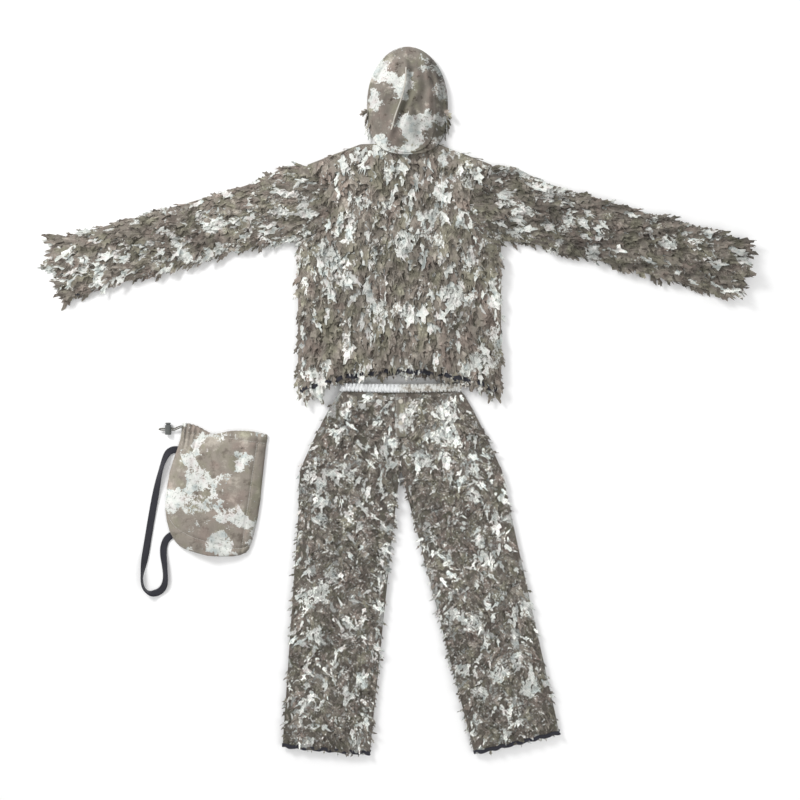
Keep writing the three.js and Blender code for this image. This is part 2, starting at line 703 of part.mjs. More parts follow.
// Route of the webbing strap, which lies flat: sewn to the bag's left side near the mouth and at the base.
const strapHeight = 1.6;
const strapRoute = [
  [-611.8, -139.1], [-621.7, -137.7], [-633, -139.5], [-645, -149], [-656, -173], [-667, -212], [-679, -268],
  [-691, -335], [-702, -403], [-711, -465], [-714, -500], [-707, -524], [-690, -535], [-671, -533],
  [-656, -519], [-650, -495], [-652, -462], [-656, -430], [-655.5, -408], [-650.5, -392], [-643.5, -382],
  [-635.5, -376], [-627, -370.9],
].map(([x, y]) => [x, y, strapHeight]);

// Route of the drawcord's loop, out of the mouth casing, through the cord lock and back.
const cordRoute = [
  [-599.4, -72.7, 13], [-606, -71.9, 12.6], [-614, -74.4, 11], [-623, -78.6, 9.1], [-630, -78.8, 9],
  [-642, -78.8, 9], [-655, -78.8, 9], [-663, -79.2, 9], [-667, -81, 9], [-663, -82.8, 9], [-655, -83.2, 9],
  [-642, -83.2, 9], [-630, -83.2, 9], [-623, -83, 9.1], [-614, -79, 11], [-606, -76.2, 12.6], [-600.1, -77, 13],
];
const lockPlace = [-642, -81, 9];

function lockBarrel() {
  const [x, y, z] = lockPlace;
  const profile = [
    [0, -15], [lockRadius - 1.5, -15], [lockRadius, -13.5], [lockRadius, 10.5], [lockRadius - 1.2, 12],
    [lockBore, 12], [lockBore, -12], [0, -12],
  ].map(([r, h]) => new THREE.Vector2(r, h));
  const cup = new THREE.LatheGeometry(profile, 20);
  cup.translate(x, y, z);
  const slot = block(x - 20, x + 20, y - 4.6, y + 4.6, z - 2.2, z + 2.2);
  return mesh('cord_lock_barrel', solid(cup).subtract(slot), cloth('#8b8f92', 0.5));
}

function lockButton() {
  const [x, y, z] = lockPlace;
  const stem = lockBore - 0.4;
  const profile = [
    [0, -6], [stem, -6], [stem, 12 + lockTravel + 0.4], [lockRadius - 1, 12 + lockTravel + 0.4],
    [lockRadius - 1, 17], [lockRadius - 2.5, 18.2], [0, 18.2],
  ].map(([r, h]) => new THREE.Vector2(r, h));
  const plunger = new THREE.LatheGeometry(profile, 20);
  plunger.translate(x, y, z);
  const slot = block(x - 20, x + 20, y - 4.4, y + 4.4 + lockTravel, z - 2.2, z + 2.2);
  return mesh('cord_lock_button', solid(plunger).subtract(slot), cloth('#6f7376', 0.5));
}

function lockSpring() {
  const [x, y, z] = lockPlace;
  const profile = [[3.6, -11.7], [5.4, -11.7], [5.4, -6.3], [3.6, -6.3], [3.6, -11.7]]
    .map(([r, h]) => new THREE.Vector2(r, h));
  const ring = new THREE.LatheGeometry(profile, 16);
  ring.translate(x, y, z);
  return mesh('cord_lock_spring', solid(ring), metal('#9a9a96'));
}

// ---------------------------------------------------------------- the whole suit

const sleeveSizes = {
  head: sleeveHead, shoulder: 98, wide: sleeveWidth / 2, end: sleeveWidth / 2 - 2, length: sleeveLength,
  band: cuffBand, tips: sleeveTips, overhang: leafOverhang, layers: sleeveLayers, rows: 8, leafTips: 6,
};
const legSizes = {
  head: legHead, shoulder: 90, wide: legHead + 1, end: ankleWidth / 2, length: legLength,
  band: ankleBand, tips: 0, overhang: leafOverhang * 0.8, layers: trouserLayers, rows: 8, leafTips: 7,
};

function placed(group, x, y, turn = 0) {
  group.position.set(x, y, 0);
  group.rotation.z = degrees(turn);
  return group;
}

const suit = new THREE.Group();

const jacketMiddle = -1.2;
const hemCorner = 19;
const jacketGroup = placed(new THREE.Group(), jacketMiddle, hemCorner);
jacketGroup.add(torso(), zip(), zipSlider(), zipPull(), hood());
const leftSleeve = limb({ ...sleeveSizes, name: 'left_sleeve', seed: 1 });
const rightSleeve = limb({ ...sleeveSizes, name: 'right_sleeve', seed: 6 });
jacketGroup.add(placed(leftSleeve, -shoulderX, shoulderY, -(90 - sleeveDrop)));
jacketGroup.add(placed(rightSleeve, shoulderX, shoulderY, 90 - sleeveDrop));
suit.add(jacketGroup);

const waistTop = hemCorner + hemY(waistWidth / 2) - nestGap;
const trouserGroup = placed(trousers(), 2, waistTop);
trouserGroup.add(placed(limb({ ...legSizes, name: 'left_leg', seed: 3 }), -hipX, -seatLength, -leftSplay));
trouserGroup.add(placed(limb({ ...legSizes, name: 'right_leg', seed: 8 }), hipX, -seatLength, rightSplay));
suit.add(trouserGroup);

const bagX = bagWidth / 2 - bagSide;
suit.add(placed(bag(), bagX, hemCorner - bagBelowHem - bagCasing, -bagLean));
const bagFittings = new THREE.Group();
const strap = strip(strapRoute, strapWidth, strapThickness, 48);
bagFittings.add(mesh('shoulder_strap', strap, cloth(dark, 0.75)));
const cordLoop = strip(cordRoute, cordThickness, cordThickness, 36);
bagFittings.add(mesh('drawcord_loop', cordLoop, cloth('#55534b')));
bagFittings.add(lockBarrel(), lockButton(), lockSpring());
suit.add(bagFittings);

// The origin is on the ground, under the middle of the whole suit without its loose cord and strap.
suit.updateMatrixWorld(true);
const bounds = new THREE.Box3();
const loose = ['shoulder_strap', 'drawcord_loop'];
suit.traverse((item) => {
  if (item.isMesh && !loose.includes(item.name)) bounds.expandByObject(item, true);
});
const middle = bounds.getCenter(new THREE.Vector3());
suit.position.set(-middle.x, -middle.y, -bounds.min.z);

export default suit;
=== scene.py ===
import json
import math
import random

import bmesh
import bpy
import numpy as np
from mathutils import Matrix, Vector, noise

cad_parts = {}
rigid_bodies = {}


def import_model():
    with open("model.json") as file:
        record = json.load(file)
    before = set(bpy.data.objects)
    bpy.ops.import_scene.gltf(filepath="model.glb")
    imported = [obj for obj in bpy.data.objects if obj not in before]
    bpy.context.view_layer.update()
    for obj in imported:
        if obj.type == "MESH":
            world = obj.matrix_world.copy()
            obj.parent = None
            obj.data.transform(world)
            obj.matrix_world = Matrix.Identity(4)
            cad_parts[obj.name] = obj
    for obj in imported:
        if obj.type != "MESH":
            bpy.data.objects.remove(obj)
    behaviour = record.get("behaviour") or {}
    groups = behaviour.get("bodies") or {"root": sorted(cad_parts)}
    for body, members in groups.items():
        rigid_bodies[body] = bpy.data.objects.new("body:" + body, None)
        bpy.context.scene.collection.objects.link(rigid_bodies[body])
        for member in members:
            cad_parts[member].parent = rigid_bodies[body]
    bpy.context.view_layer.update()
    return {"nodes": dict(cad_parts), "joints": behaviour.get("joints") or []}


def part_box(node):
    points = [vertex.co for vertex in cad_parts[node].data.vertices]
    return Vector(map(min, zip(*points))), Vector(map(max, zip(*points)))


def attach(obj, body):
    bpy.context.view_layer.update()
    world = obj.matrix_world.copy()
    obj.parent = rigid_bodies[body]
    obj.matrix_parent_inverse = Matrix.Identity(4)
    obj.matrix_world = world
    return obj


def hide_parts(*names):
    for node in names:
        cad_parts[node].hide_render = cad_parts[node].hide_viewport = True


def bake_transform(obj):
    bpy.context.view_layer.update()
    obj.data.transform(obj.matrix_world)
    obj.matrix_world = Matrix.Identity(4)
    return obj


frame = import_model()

bl_info = {
    "name": "Leafy camouflage suit",
    "version": (1, 0, 0),
    "blender": (4, 5, 0),
    "location": "View3D > Sidebar > Suit",
    "description": "Hooded jacket, trousers and carry bag covered with cut cloth leaves, laid out flat",
    "category": "Object",
}

JOINTS = {joint["name"]: joint for joint in frame["joints"]}
MM = 0.001
GROUND = 0.0006

# ---------------------------------------------------------------- places taken from the frame


def span(*nodes):
    """Lowest and highest corner of one or more nodes."""
    corners = [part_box(node) for node in nodes]
    low = Vector(min(c[0][axis] for c in corners) for axis in range(3))
    high = Vector(max(c[1][axis] for c in corners) for axis in range(3))
    return low, high


def middle_of(*nodes):
    low, high = span(*nodes)
    return (low + high) / 2


def joint_point(name):
    return Vector(JOINTS[name]["pos_m"])


def clamp(value, low=0.0, high=1.0):
    return max(low, min(high, value))


def circle(steps):
    """Cosine and sine of angles evenly spaced once round."""
    angles = [2 * math.pi * step / steps for step in range(steps)]
    return [(math.cos(angle), math.sin(angle)) for angle in angles]


TORSO = span("jacket_back_panel")
TORSO_TOP = span("jacket_front_leaves_left")[0].z
HEM = span("jacket_hem_elastic")
JACKET_MIDDLE = (TORSO[0].x + TORSO[1].x) / 2
CHEST_HALF = (TORSO[1].x - TORSO[0].x) / 2
HOOD = span("hood_shell_left", "hood_shell_right")
HOOD_X = (HOOD[0].x + HOOD[1].x) / 2
HOOD_UP = 0.158  # from the middle of the hood to its crown
HOOD_DOWN = 0.15  # from the middle of the hood to its lower edge
HOOD_Y = HOOD[1].y - HOOD_UP
HOOD_HALF = (HOOD[1].x - HOOD[0].x) / 2
ZIP_X = middle_of("zip_tape_left", "zip_tape_right").x
WAIST = span("waistband_casing")
FLY_X = middle_of("fly_placket").x
FLY_END = span("fly_placket")[0].y
SEAT = span("seat_back_left", "seat_back_right")
SEAT_MIDDLE = (SEAT[0].x + SEAT[1].x) / 2

SLEEVE_DROP = math.radians(15.5)
SLEEVE_HALF = 82 * MM
SLEEVE_END = 80 * MM
SLEEVE_LENGTH = 652 * MM
SLEEVE_HEAD = 108 * MM
LEG_SPLAY = {"left": math.radians(4.9), "right": math.radians(13.5)}
LEG_HALF = 131 * MM
LEG_END = 121 * MM
LEG_LENGTH = 778 * MM
BAG_LEAN = math.radians(-8.3)
BAG_LENGTH = 320 * MM
SIDES = {"left": -1, "right": 1}

# Routes of the strap and the drawcord, in metres.
STRAP_ROUTE = [
    (-0.6118, -0.1391), (-0.6217, -0.1377), (-0.633, -0.1395), (-0.645, -0.149), (-0.656, -0.173),
    (-0.667, -0.212), (-0.679, -0.268), (-0.691, -0.335), (-0.702, -0.403), (-0.711, -0.465),
    (-0.714, -0.5), (-0.707, -0.524), (-0.69, -0.535), (-0.671, -0.533), (-0.656, -0.519),
    (-0.65, -0.495), (-0.652, -0.462), (-0.656, -0.43), (-0.6555, -0.408), (-0.6505, -0.392),
    (-0.6435, -0.382), (-0.6355, -0.376), (-0.627, -0.3709),
]
STRAP_HEIGHT = 1.6 * MM
CORD_ROUTE = [
    (-0.5994, -0.0727, 0.013), (-0.606, -0.0719, 0.0126), (-0.614, -0.0744, 0.011),
    (-0.623, -0.0786, 0.0091), (-0.63, -0.0788, 0.009), (-0.642, -0.0788, 0.009),
    (-0.655, -0.0788, 0.009), (-0.663, -0.0792, 0.009), (-0.667, -0.081, 0.009),
    (-0.663, -0.0828, 0.009), (-0.655, -0.0832, 0.009), (-0.642, -0.0832, 0.009),
    (-0.63, -0.0832, 0.009), (-0.623, -0.083, 0.0091), (-0.614, -0.079, 0.011),
    (-0.606, -0.0762, 0.0126), (-0.6001, -0.077, 0.013),
]


# ---------------------------------------------------------------- sizes and colours


def length(name, description, default):
    return bpy.props.FloatProperty(name=name, description=description, default=default, unit="LENGTH")


def colour(name, description, red, green, blue):
    """A colour property from a paint chart's 0 to 255 values."""
    linear = [((c / 255 + 0.055) / 1.055) ** 2.4 for c in (red, green, blue)]
    return bpy.props.FloatVectorProperty(
        name=name, description=description, default=linear, size=3, subtype="COLOR", min=0, max=1
    )


class SuitSizes(bpy.types.PropertyGroup):
    torso_leaf: length("Torso leaf", "Length of a cloth leaf on the torso", 0.05)
    sleeve_leaf: length("Sleeve leaf", "Length of a cloth leaf on a sleeve", 0.047)
    trouser_leaf: length("Trouser leaf", "Length of a cloth leaf on the trousers", 0.034)
    torso_spacing: length("Torso spacing", "Least distance between two leaves on the torso", 0.0118)
    trouser_spacing: length("Trouser spacing", "Least distance between two leaves on the trousers", 0.0088)
    fold_height: length("Fold height", "Height of the folds in the jacket and trousers", 0.005)
    hood_fold: length("Hood fold", "Depth of the folds in the hood and veil", 0.0095)
    strap_width: length("Strap width", "Width of the bag's webbing strap", 0.019)
    strap_thickness: length("Strap thickness", "Thickness of the webbing", 0.0024)
    cord_thickness: length("Cord thickness", "Thickness of the drawcord", 0.003)
    seed: bpy.props.IntProperty(name="Seed", description="Start of every random choice", default=7)


class SuitColours(bpy.types.PropertyGroup):
    shade: colour("Shade brown", "Darkest brown of the print", 88, 80, 72)
    bark: colour("Bark brown", "Main brown of the print", 134, 127, 118)
    taupe: colour("Taupe", "Lightest brown of the print", 174, 167, 156)
    frost: colour("Frost", "Bluish white patches of the print", 224, 225, 221)
    speckle: colour("Speckle", "Small dark marks in the white patches", 118, 120, 112)
    dark_elastic: colour("Dark elastic", "Bindings at the hems", 44, 44, 52)
    pale_elastic: colour("Pale elastic", "Waistband", 236, 238, 238)
    webbing: colour("Webbing", "Strap of the bag", 42, 42, 49)
    cord: colour("Cord", "Drawcord of the bag", 92, 88, 76)
    metal: colour("Zip metal", "Zip slider and stops", 122, 118, 108)
    zip_tape: colour("Zip tape", "Woven tape of the zip", 66, 62, 54)
    lock: colour("Cord lock", "Moulded cord lock", 88, 90, 88)


# ---------------------------------------------------------------- node tree helpers


def add(tree, kind, inputs=None, **settings):
    """A new node with its settings and its fixed or linked inputs."""
    node = tree.nodes.new(kind)
    for key, value in settings.items():
        setattr(node, key, value)
    for key, value in (inputs or {}).items():
        socket = node.inputs[key]
        if isinstance(value, bpy.types.NodeSocket):
            tree.links.new(value, socket)
        else:
            socket.default_value = value
    return node


def surface(name, roughness=0.9, sheen=0.0, metallic=0.0):
    """A new material with its shader; gives the material, its tree and the shader."""
    material = bpy.data.materials.new(name)
    material.use_nodes = True
    tree = material.node_tree
    shader = tree.nodes["Principled BSDF"]
    shader.inputs["Roughness"].default_value = roughness
    shader.inputs["Metallic"].default_value = metallic
    shader.inputs["Sheen Weight"].default_value = sheen
    shader.inputs["Sheen Roughness"].default_value = 0.5
    shader.inputs["Specular IOR Level"].default_value = 0.25
    return material, tree, shader


def rgba(value):
    return (*value, 1.0)


def ramp(tree, factor, stops, interpolation="LINEAR"):
    node = add(tree, "ShaderNodeValToRGB", {"Fac": factor})
    elements = node.color_ramp.elements
    node.color_ramp.interpolation = interpolation
    while len(elements) < len(stops):
        elements.new(0.5)
    for element, (position, value) in zip(elements, stops):
        element.position = position
        element.color = rgba(value)
    return node.outputs["Color"]


def mix(tree, factor, low, high, blend="MIX"):
    node = tree.nodes.new("ShaderNodeMix")
    node.data_type = "RGBA"
    node.blend_type = blend
    for socket, value in ((node.inputs[0], factor), (node.inputs[6], low), (node.inputs[7], high)):
        if isinstance(value, bpy.types.NodeSocket):
            tree.links.new(value, socket)
        elif isinstance(value, float):
            socket.default_value = value
        else:
            socket.default_value = rgba(value)
    return node.outputs[2]


def maths(tree, operation, first, second=0.0, third=0.0):
    return add(tree, "ShaderNodeMath", {0: first, 1: second, 2: third}, operation=operation).outputs[0]


def noise_at(tree, vector, scale, detail=3.0, rough=0.55, result="Fac"):
    inputs = {"Vector": vector, "Scale": scale, "Detail": detail, "Roughness": rough}
    return add(tree, "ShaderNodeTexNoise", inputs).outputs[result]


def stripes(tree, vector, scale, distortion, direction="X", **more):
    inputs = {"Vector": vector, "Scale": scale, "Distortion": distortion, **more}
    return add(tree, "ShaderNodeTexWave", inputs, bands_direction=direction).outputs["Fac"]


def between(tree, value, low, high, first=0.0, last=1.0):
    """Goes from `first` to `last` as a value goes from `low` to `high`."""
    inputs = {"Value": value, "From Min": low, "From Max": high, "To Min": first, "To Max": last}
    return add(tree, "ShaderNodeMapRange", inputs).outputs[0]


def object_place(tree):
    return add(tree, "ShaderNodeTexCoord").outputs["Object"]


def turned(tree, vector, rotation, scale=(1.0, 1.0, 1.0)):
    inputs = {"Vector": vector, "Rotation": rotation, "Scale": scale}
    return add(tree, "ShaderNodeMapping", inputs).outputs[0]


def attribute(tree, name):
    return add(tree, "ShaderNodeAttribute", attribute_name=name).outputs["Fac"]


def paint(tree, shader, value):
    tree.links.new(value, shader.inputs["Base Color"])


def bump(tree, shader, height, strength, distance):
    node = add(tree, "ShaderNodeBump", {"Height": height, "Strength": strength, "Distance": distance})
    tree.links.new(node.outputs["Normal"], shader.inputs["Normal"])


def scaled(tree, vector, x, y, z):
    return add(tree, "ShaderNodeVectorMath", {0: vector, 1: (x, y, z)}, operation="MULTIPLY").outputs[0]


# ---------------------------------------------------------------- finishes

RIBS = 900.0  # radians of rib pattern for each metre of elastic


def camouflage(name, cell, patches, leaves, shift, stretch, tones, net=0.0, dim=(0.8, 1.18),
               contrast=1.0, streaks=0.0, blotch=2.2, flecks=0.0):
    """
    Printed camouflage cloth. `cell` is the scale of the white patches, `patches` the share of the cloth
    that they cover and `leaves` the share of leaves that are white all over. `shift` is how far each leaf's
    print is moved and `stretch` lengthens the pattern along Y when below 1. `net` is how strongly an open
    net weave shows, `dim` how dark and how light the leaves are, `contrast` how strong the grain is and how
    deep the broad painted fold shade is, `streaks` how dark the painted shade in the lengthwise folds of a
    sleeve is, `blotch` how fine the browns are against the patches, and `flecks` how much small white lint
    lies on them. The colour also takes painted light and shade of the folds from the `painted_fold_shading`
    attribute.
    """
    colours = bpy.context.scene.suit_colours
    material, tree, shader = surface(name, roughness=0.9, sheen=0.1)
    place = object_place(tree)
    leaf = attribute(tree, "leaf")
    wander = add(tree, "ShaderNodeCombineXYZ", {
        axis: maths(tree, "SINE", maths(tree, "MULTIPLY", leaf, spread))
        for axis, spread in (("X", 311.0), ("Y", 173.0))}).outputs[0]
    moved = add(tree, "ShaderNodeVectorMath", {
        0: wander, 1: (shift, shift, shift), 2: place}, operation="MULTIPLY_ADD").outputs[0]
    flat = scaled(tree, moved, 1.0, stretch, 0.3)

    warp = noise_at(tree, flat, cell * 1.9, detail=5.0, rough=0.7, result="Color")
    pushed = add(tree, "ShaderNodeVectorMath", {
        0: warp, 1: (1.5 / cell,) * 3, 2: flat}, operation="MULTIPLY_ADD").outputs[0]
    cells = add(tree, "ShaderNodeTexVoronoi", {"Vector": pushed, "Scale": cell, "Randomness": 1.0})
    lot = add(tree, "ShaderNodeSeparateColor", {0: cells.outputs["Color"]}).outputs["Red"]
    own = maths(tree, "FRACT", maths(tree, "MULTIPLY_ADD", leaf, 57.3, 0.5))
    in_patch = maths(tree, "DIVIDE", lot, patches)
    on_leaf = maths(tree, "DIVIDE", own, leaves)
    either = maths(tree, "MINIMUM", in_patch, on_leaf)
    ragged = noise_at(tree, flat, cell * 5.0, detail=4.0, rough=0.72)
    inside = between(tree, maths(tree, "MULTIPLY_ADD", ragged, 2.6, either), 2.4, 2.25)
    if flecks:
        lint = noise_at(tree, flat, 170.0, detail=2.0, rough=0.6)
        inside = maths(tree, "MAXIMUM", inside, between(tree, lint, 0.6, 0.66, last=flecks))

    mottle = noise_at(tree, flat, cell * blotch, detail=6.0, rough=0.72)
    shade, bark, taupe = tones
    ground = ramp(tree, mottle, [(0.34, shade), (0.44, bark), (0.54, bark), (0.64, taupe)])
    tint = noise_at(tree, flat, cell * 0.9, detail=3.0)
    olive = mix(tree, between(tree, tint, 0.5, 0.62), (1.0, 1.0, 1.0), (0.95, 1.0, 0.9))
    warm = mix(tree, between(tree, tint, 0.46, 0.36), olive, (1.05, 0.98, 0.99))
    ground = mix(tree, 1.0, ground, warm, "MULTIPLY")
    speck = noise_at(tree, flat, cell * 8, detail=3.0, rough=0.75)
    marks = between(tree, speck, 0.55, 0.64)
    frost = mix(tree, maths(tree, "MULTIPLY", marks, 0.6), colours.frost, colours.speckle)
    cloudy = ramp(tree, noise_at(tree, flat, cell * 2.4, detail=3.0), [
        (0.36, (0.74, 0.79, 0.8)), (0.47, (0.95, 0.96, 0.94)),
        (0.56, (1.0, 1.0, 1.0)), (0.66, (0.92, 0.86, 0.86))])
    printed = mix(tree, inside, ground, mix(tree, 1.0, frost, cloudy, "MULTIPLY"))

    low, high = dim
    toned = maths(tree, "MULTIPLY_ADD", leaf, high - low, low)
    grain = noise_at(tree, scaled(tree, place, 1.0, 0.35, 1.0), 330.0, detail=3.0, rough=0.7)
    rubbed = maths(tree, "MULTIPLY_ADD", grain, 0.6 * contrast, 1 - 0.3 * contrast)
    light = maths(tree, "MULTIPLY", toned, rubbed)
    bias = turned(tree, place, (0.0, 0.0, 0.7))
    threads, across = (
        stripes(tree, bias, 62.0, 3.0, direction, **{"Detail Scale": 2.0}) for direction in "XY")
    holes = maths(tree, "MULTIPLY", threads, across)
    light = maths(tree, "MULTIPLY", light, maths(tree, "MULTIPLY_ADD", holes, -net, 1.0 + net * 0.3))
    # Painted light and shade of the folds, from the `painted_fold_shading` attribute.
    light = maths(tree, "MULTIPLY", light, maths(tree, "ADD", attribute(tree, "painted_fold_shading"), 1.0))
    # Broad, slow noise makes the cloth darker and lighter in wide patches: tone variation that is also
    # painted shade of large folds.
    broad = noise_at(tree, scaled(tree, place, 1.0, 0.6, 0.5), 9.0, detail=3.0, rough=0.6)
    light = maths(tree, "MULTIPLY", light, between(tree, broad, 0.36, 0.62, 1 - 0.2 * contrast, 1.08))
    # Painted shade: dark lengthwise lines along the sleeve where its folds fall in shade.
    if streaks:
        lengthwise = turned(tree, place, (0.0, 0.0, SLEEVE_DROP), (0.16, 1.0, 0.2))
        line = noise_at(tree, lengthwise, 38.0, detail=3.0, rough=0.6)
        light = maths(tree, "MULTIPLY", light, between(tree, line, 0.4, 0.53, 1 - streaks))
    grey = add(tree, "ShaderNodeCombineColor", {0: light, 1: light, 2: light}).outputs[0]
    paint(tree, shader, mix(tree, 1.0, printed, grey, "MULTIPLY"))
    relief = maths(tree, "MULTIPLY_ADD", holes, -net, maths(tree, "MULTIPLY", grain, 1.4))
    bump(tree, shader, relief, 0.4, 0.0006)
    return material


def print_tones(lift, evenness=0.0):
    """The three browns of the print, brightened by `lift` and drawn together by `evenness`."""
    colours = bpy.context.scene.suit_colours
    return [
        [clamp(lift * (c + (middle - c) * evenness), 0.02) for c, middle in zip(tone, colours.bark)]
        for tone in (colours.shade, colours.bark, colours.taupe)
    ]


def leaf_cloth(name, cell, patches, leaves, stretch, lift=1.0, shift=0.004, **look):
    """The print on leaf-cut cloth, brightened by `lift`."""
    return camouflage(name, cell, patches, leaves, shift, stretch, print_tones(lift), **look)


def smooth_cloth(name, cell, patches, lift, dim, evenness, blotch):
    """The same print on smooth cloth."""
    tones = print_tones(lift, evenness)
    return camouflage(name, cell, patches, 0.01, 0.0, 1.0, tones, dim=(dim, dim), contrast=0.6, blotch=blotch)


def waist_cloth():
    """Waistband cloth: plain pale elastic on one half and printed mesh on the other, with fine gathers."""
    colours = bpy.context.scene.suit_colours
    material, tree, shader = surface("waistband cloth", roughness=0.85, sheen=0.1)
    place = object_place(tree)
    side = add(tree, "ShaderNodeSeparateXYZ", {0: place}).outputs["X"]
    wobble = maths(tree, "MULTIPLY_ADD", noise_at(tree, place, 90.0, detail=4.0), 0.03, side)
    printed_half = between(tree, wobble, 0.012, 0.016)
    gathers = stripes(tree, scaled(tree, place, 1.0, 0.1, 1.0), 75.0, 4.0, Detail=2.0)
    dull = [c * 0.62 for c in colours.pale_elastic]
    pale = mix(tree, maths(tree, "MULTIPLY", gathers, 0.4), colours.pale_elastic, dull)
    cloud = noise_at(tree, place, 55.0, detail=5.0, rough=0.7)
    mesh_cloth = ramp(tree, cloud, [(0.34, colours.bark), (0.42, colours.taupe), (0.5, colours.frost)])
    holes = add(tree, "ShaderNodeTexVoronoi", {"Vector": place, "Scale": 420.0}, feature="DISTANCE_TO_EDGE")
    open_part = between(tree, holes.outputs["Distance"], 0.12, 0.3)
    netted = mix(tree, maths(tree, "MULTIPLY", open_part, 0.45), mesh_cloth, [c * 0.4 for c in colours.bark])
    paint(tree, shader, mix(tree, printed_half, pale, netted))
    bump(tree, shader, gathers, 0.8, 0.0012)
    return material


def under_net(name, cell, patches, dim):
    """Printed net cloth that shows between the leaves, darkened by `dim` as painted shade in the gaps between
    them.
    """
    return leaf_cloth(name, cell, patches, 0.01, 1.0, shift=0.0, net=0.75, dim=(dim, dim))


def ribbed(name, tone, direction="X", fade=0.35):
    """Woven elastic, thread or tape with fine ribs across it."""
    material, tree, shader = surface(name, roughness=0.7, sheen=0.1)
    place = object_place(tree)
    rib = stripes(tree, place, RIBS / 6.283, 0.6, direction)
    wear = noise_at(tree, place, 60.0, detail=4.0)
    dull = [c * (1 - fade) for c in tone]
    light = [min(1.0, c * (1 + fade)) for c in tone]
    base = mix(tree, wear, dull, light)
    paint(tree, shader, mix(tree, maths(tree, "MULTIPLY", rib, 0.35), base, dull))
    bump(tree, shader, rib, 0.5, 0.0005)
    return material


def webbing_weave(tone):
    """Diagonal weave along the strap, read from the strap's own lengthwise and crosswise map."""
    material, tree, shader = surface("strap webbing", roughness=0.62, sheen=0.15)
    place = add(tree, "ShaderNodeUVMap", uv_map="lay").outputs["UV"]
    twill = stripes(tree, turned(tree, place, (0, 0, math.radians(45))), 160.0, 0.3)
    worn = noise_at(tree, place, 45.0, detail=5.0)
    base = mix(tree, worn, [c * 0.75 for c in tone], [min(1.0, c * 1.5) for c in tone])
    paint(tree, shader, mix(tree, maths(tree, "MULTIPLY", twill, 0.45), base, [c * 0.4 for c in tone]))
    bump(tree, shader, twill, 0.6, 0.0005)
    return material


def braid(tone):
    """Slanted strands of a round cord."""
    material, tree, shader = surface("drawcord braid", roughness=0.75, sheen=0.1)
    place = object_place(tree)
    strands = stripes(tree, turned(tree, place, (0.6, 0.4, 0.785)), 230.0, 1.0)
    paint(tree, shader, mix(tree, strands, [c * 0.5 for c in tone], [c * 1.3 for c in tone]))
    bump(tree, shader, strands, 0.7, 0.0004)
    return material


def moulded(name, tone, roughness=0.45):
    """Moulded plastic with a fine spark-eroded grain and paler rubbed places."""
    material, tree, shader = surface(name, roughness=roughness)
    place = object_place(tree)
    rubbed = noise_at(tree, place, 160.0, detail=4.0)
    paint(tree, shader, mix(tree, rubbed, [c * 0.8 for c in tone], [min(1.0, c * 1.35) for c in tone]))
    bump(tree, shader, noise_at(tree, place, 2500.0), 0.25, 0.0002)
    return material


def plated(name, tone):
    """Zip metal with small scratches."""
    material, tree, shader = surface(name, roughness=0.35, metallic=0.9)
    place = object_place(tree)
    scratch = noise_at(tree, scaled(tree, place, 1.0, 0.08, 1.0), 1800.0, detail=4.0)
    paint(tree, shader, mix(tree, scratch, [c * 0.7 for c in tone], [min(1.0, c * 1.3) for c in tone]))
    tree.links.new(between(tree, scratch, 0.0, 1.0, 0.25, 0.55), shader.inputs["Roughness"])
    bump(tree, shader, scratch, 0.2, 0.0001)
    return material


FINISHES = {}


def finish(name):
    """The shared material for a finish, made the first time that it is asked for."""
    if name not in FINISHES:
        colours = bpy.context.scene.suit_colours
        makers = {
            "torso leaves": lambda: leaf_cloth("torso leaf cloth", 24.0, 0.16, 0.19, 0.75, net=0.1),
            "left sleeve leaves": lambda: leaf_cloth(
                "left sleeve leaf cloth", 25.0, 0.15, 0.18, 1.25, 0.95, net=0.1),
            "right sleeve leaves": lambda: leaf_cloth(
                "right sleeve leaf cloth", 25.0, 0.1, 0.12, 1.25, 0.85, net=0.1, streaks=0.45),
            "trouser leaves": lambda: leaf_cloth(
                "trouser leaf cloth", 26.0, 0.165, 0.175, 1.0, 0.78, net=0.6, dim=(0.55, 1.34), flecks=0.9),
            "hood cloth": lambda: smooth_cloth("hood cloth", 22.0, 0.33, 0.98, 0.73, -0.35, 1.1),
            "veil cloth": lambda: smooth_cloth("veil cloth", 22.0, 0.33, 0.98, 0.73, -0.35, 1.1),
            "bag cloth": lambda: smooth_cloth("bag cloth", 15.0, 0.34, 1.25, 0.9, 0.35, 1.5),
            "waist cloth": lambda: waist_cloth(),
            # The net cloth under the leaves is darkened as painted shade between them, most of all under the
            # trousers' leaves.
            "under net": lambda: under_net("under net cloth", 30.0, 0.15, 0.8),
            "trouser net": lambda: under_net("trouser net cloth", 30.0, 0.17, 0.45),
            "dark elastic": lambda: ribbed("dark elastic", colours.dark_elastic),
            "ankle elastic": lambda: ribbed("ankle elastic", colours.dark_elastic),
            "webbing": lambda: webbing_weave(colours.webbing),
            "braid": lambda: braid(colours.cord),
            "pale elastic": lambda: ribbed("pale elastic", colours.pale_elastic),
            "zip tape": lambda: ribbed("zip tape", colours.zip_tape, direction="Y"),
            "zip metal": lambda: plated("zip metal", colours.metal),
            "lock plastic": lambda: moulded("cord lock plastic", colours.lock),
            "button plastic": lambda: moulded("button plastic", (0.45, 0.42, 0.36), 0.3),
            "spring": lambda: plated("spring steel", (0.35, 0.35, 0.33)),
            "piping": lambda: ribbed("piping", (0.5, 0.47, 0.41)),
            "pale thread": lambda: ribbed("pale thread", (0.62, 0.62, 0.58)),
        }
        FINISHES[name] = makers[name]()
    return FINISHES[name]


def cover(node, name):
    """Gives a carried-over node one of the finishes."""
    for slot in frame["nodes"][node].material_slots:
        slot.material = finish(name)


# ---------------------------------------------------------------- mesh helpers


def show(name, data):
    """A new object in the scene, made of the given data."""
    item = bpy.data.objects.new(name, data)
    bpy.context.scene.collection.objects.link(item)
    return item


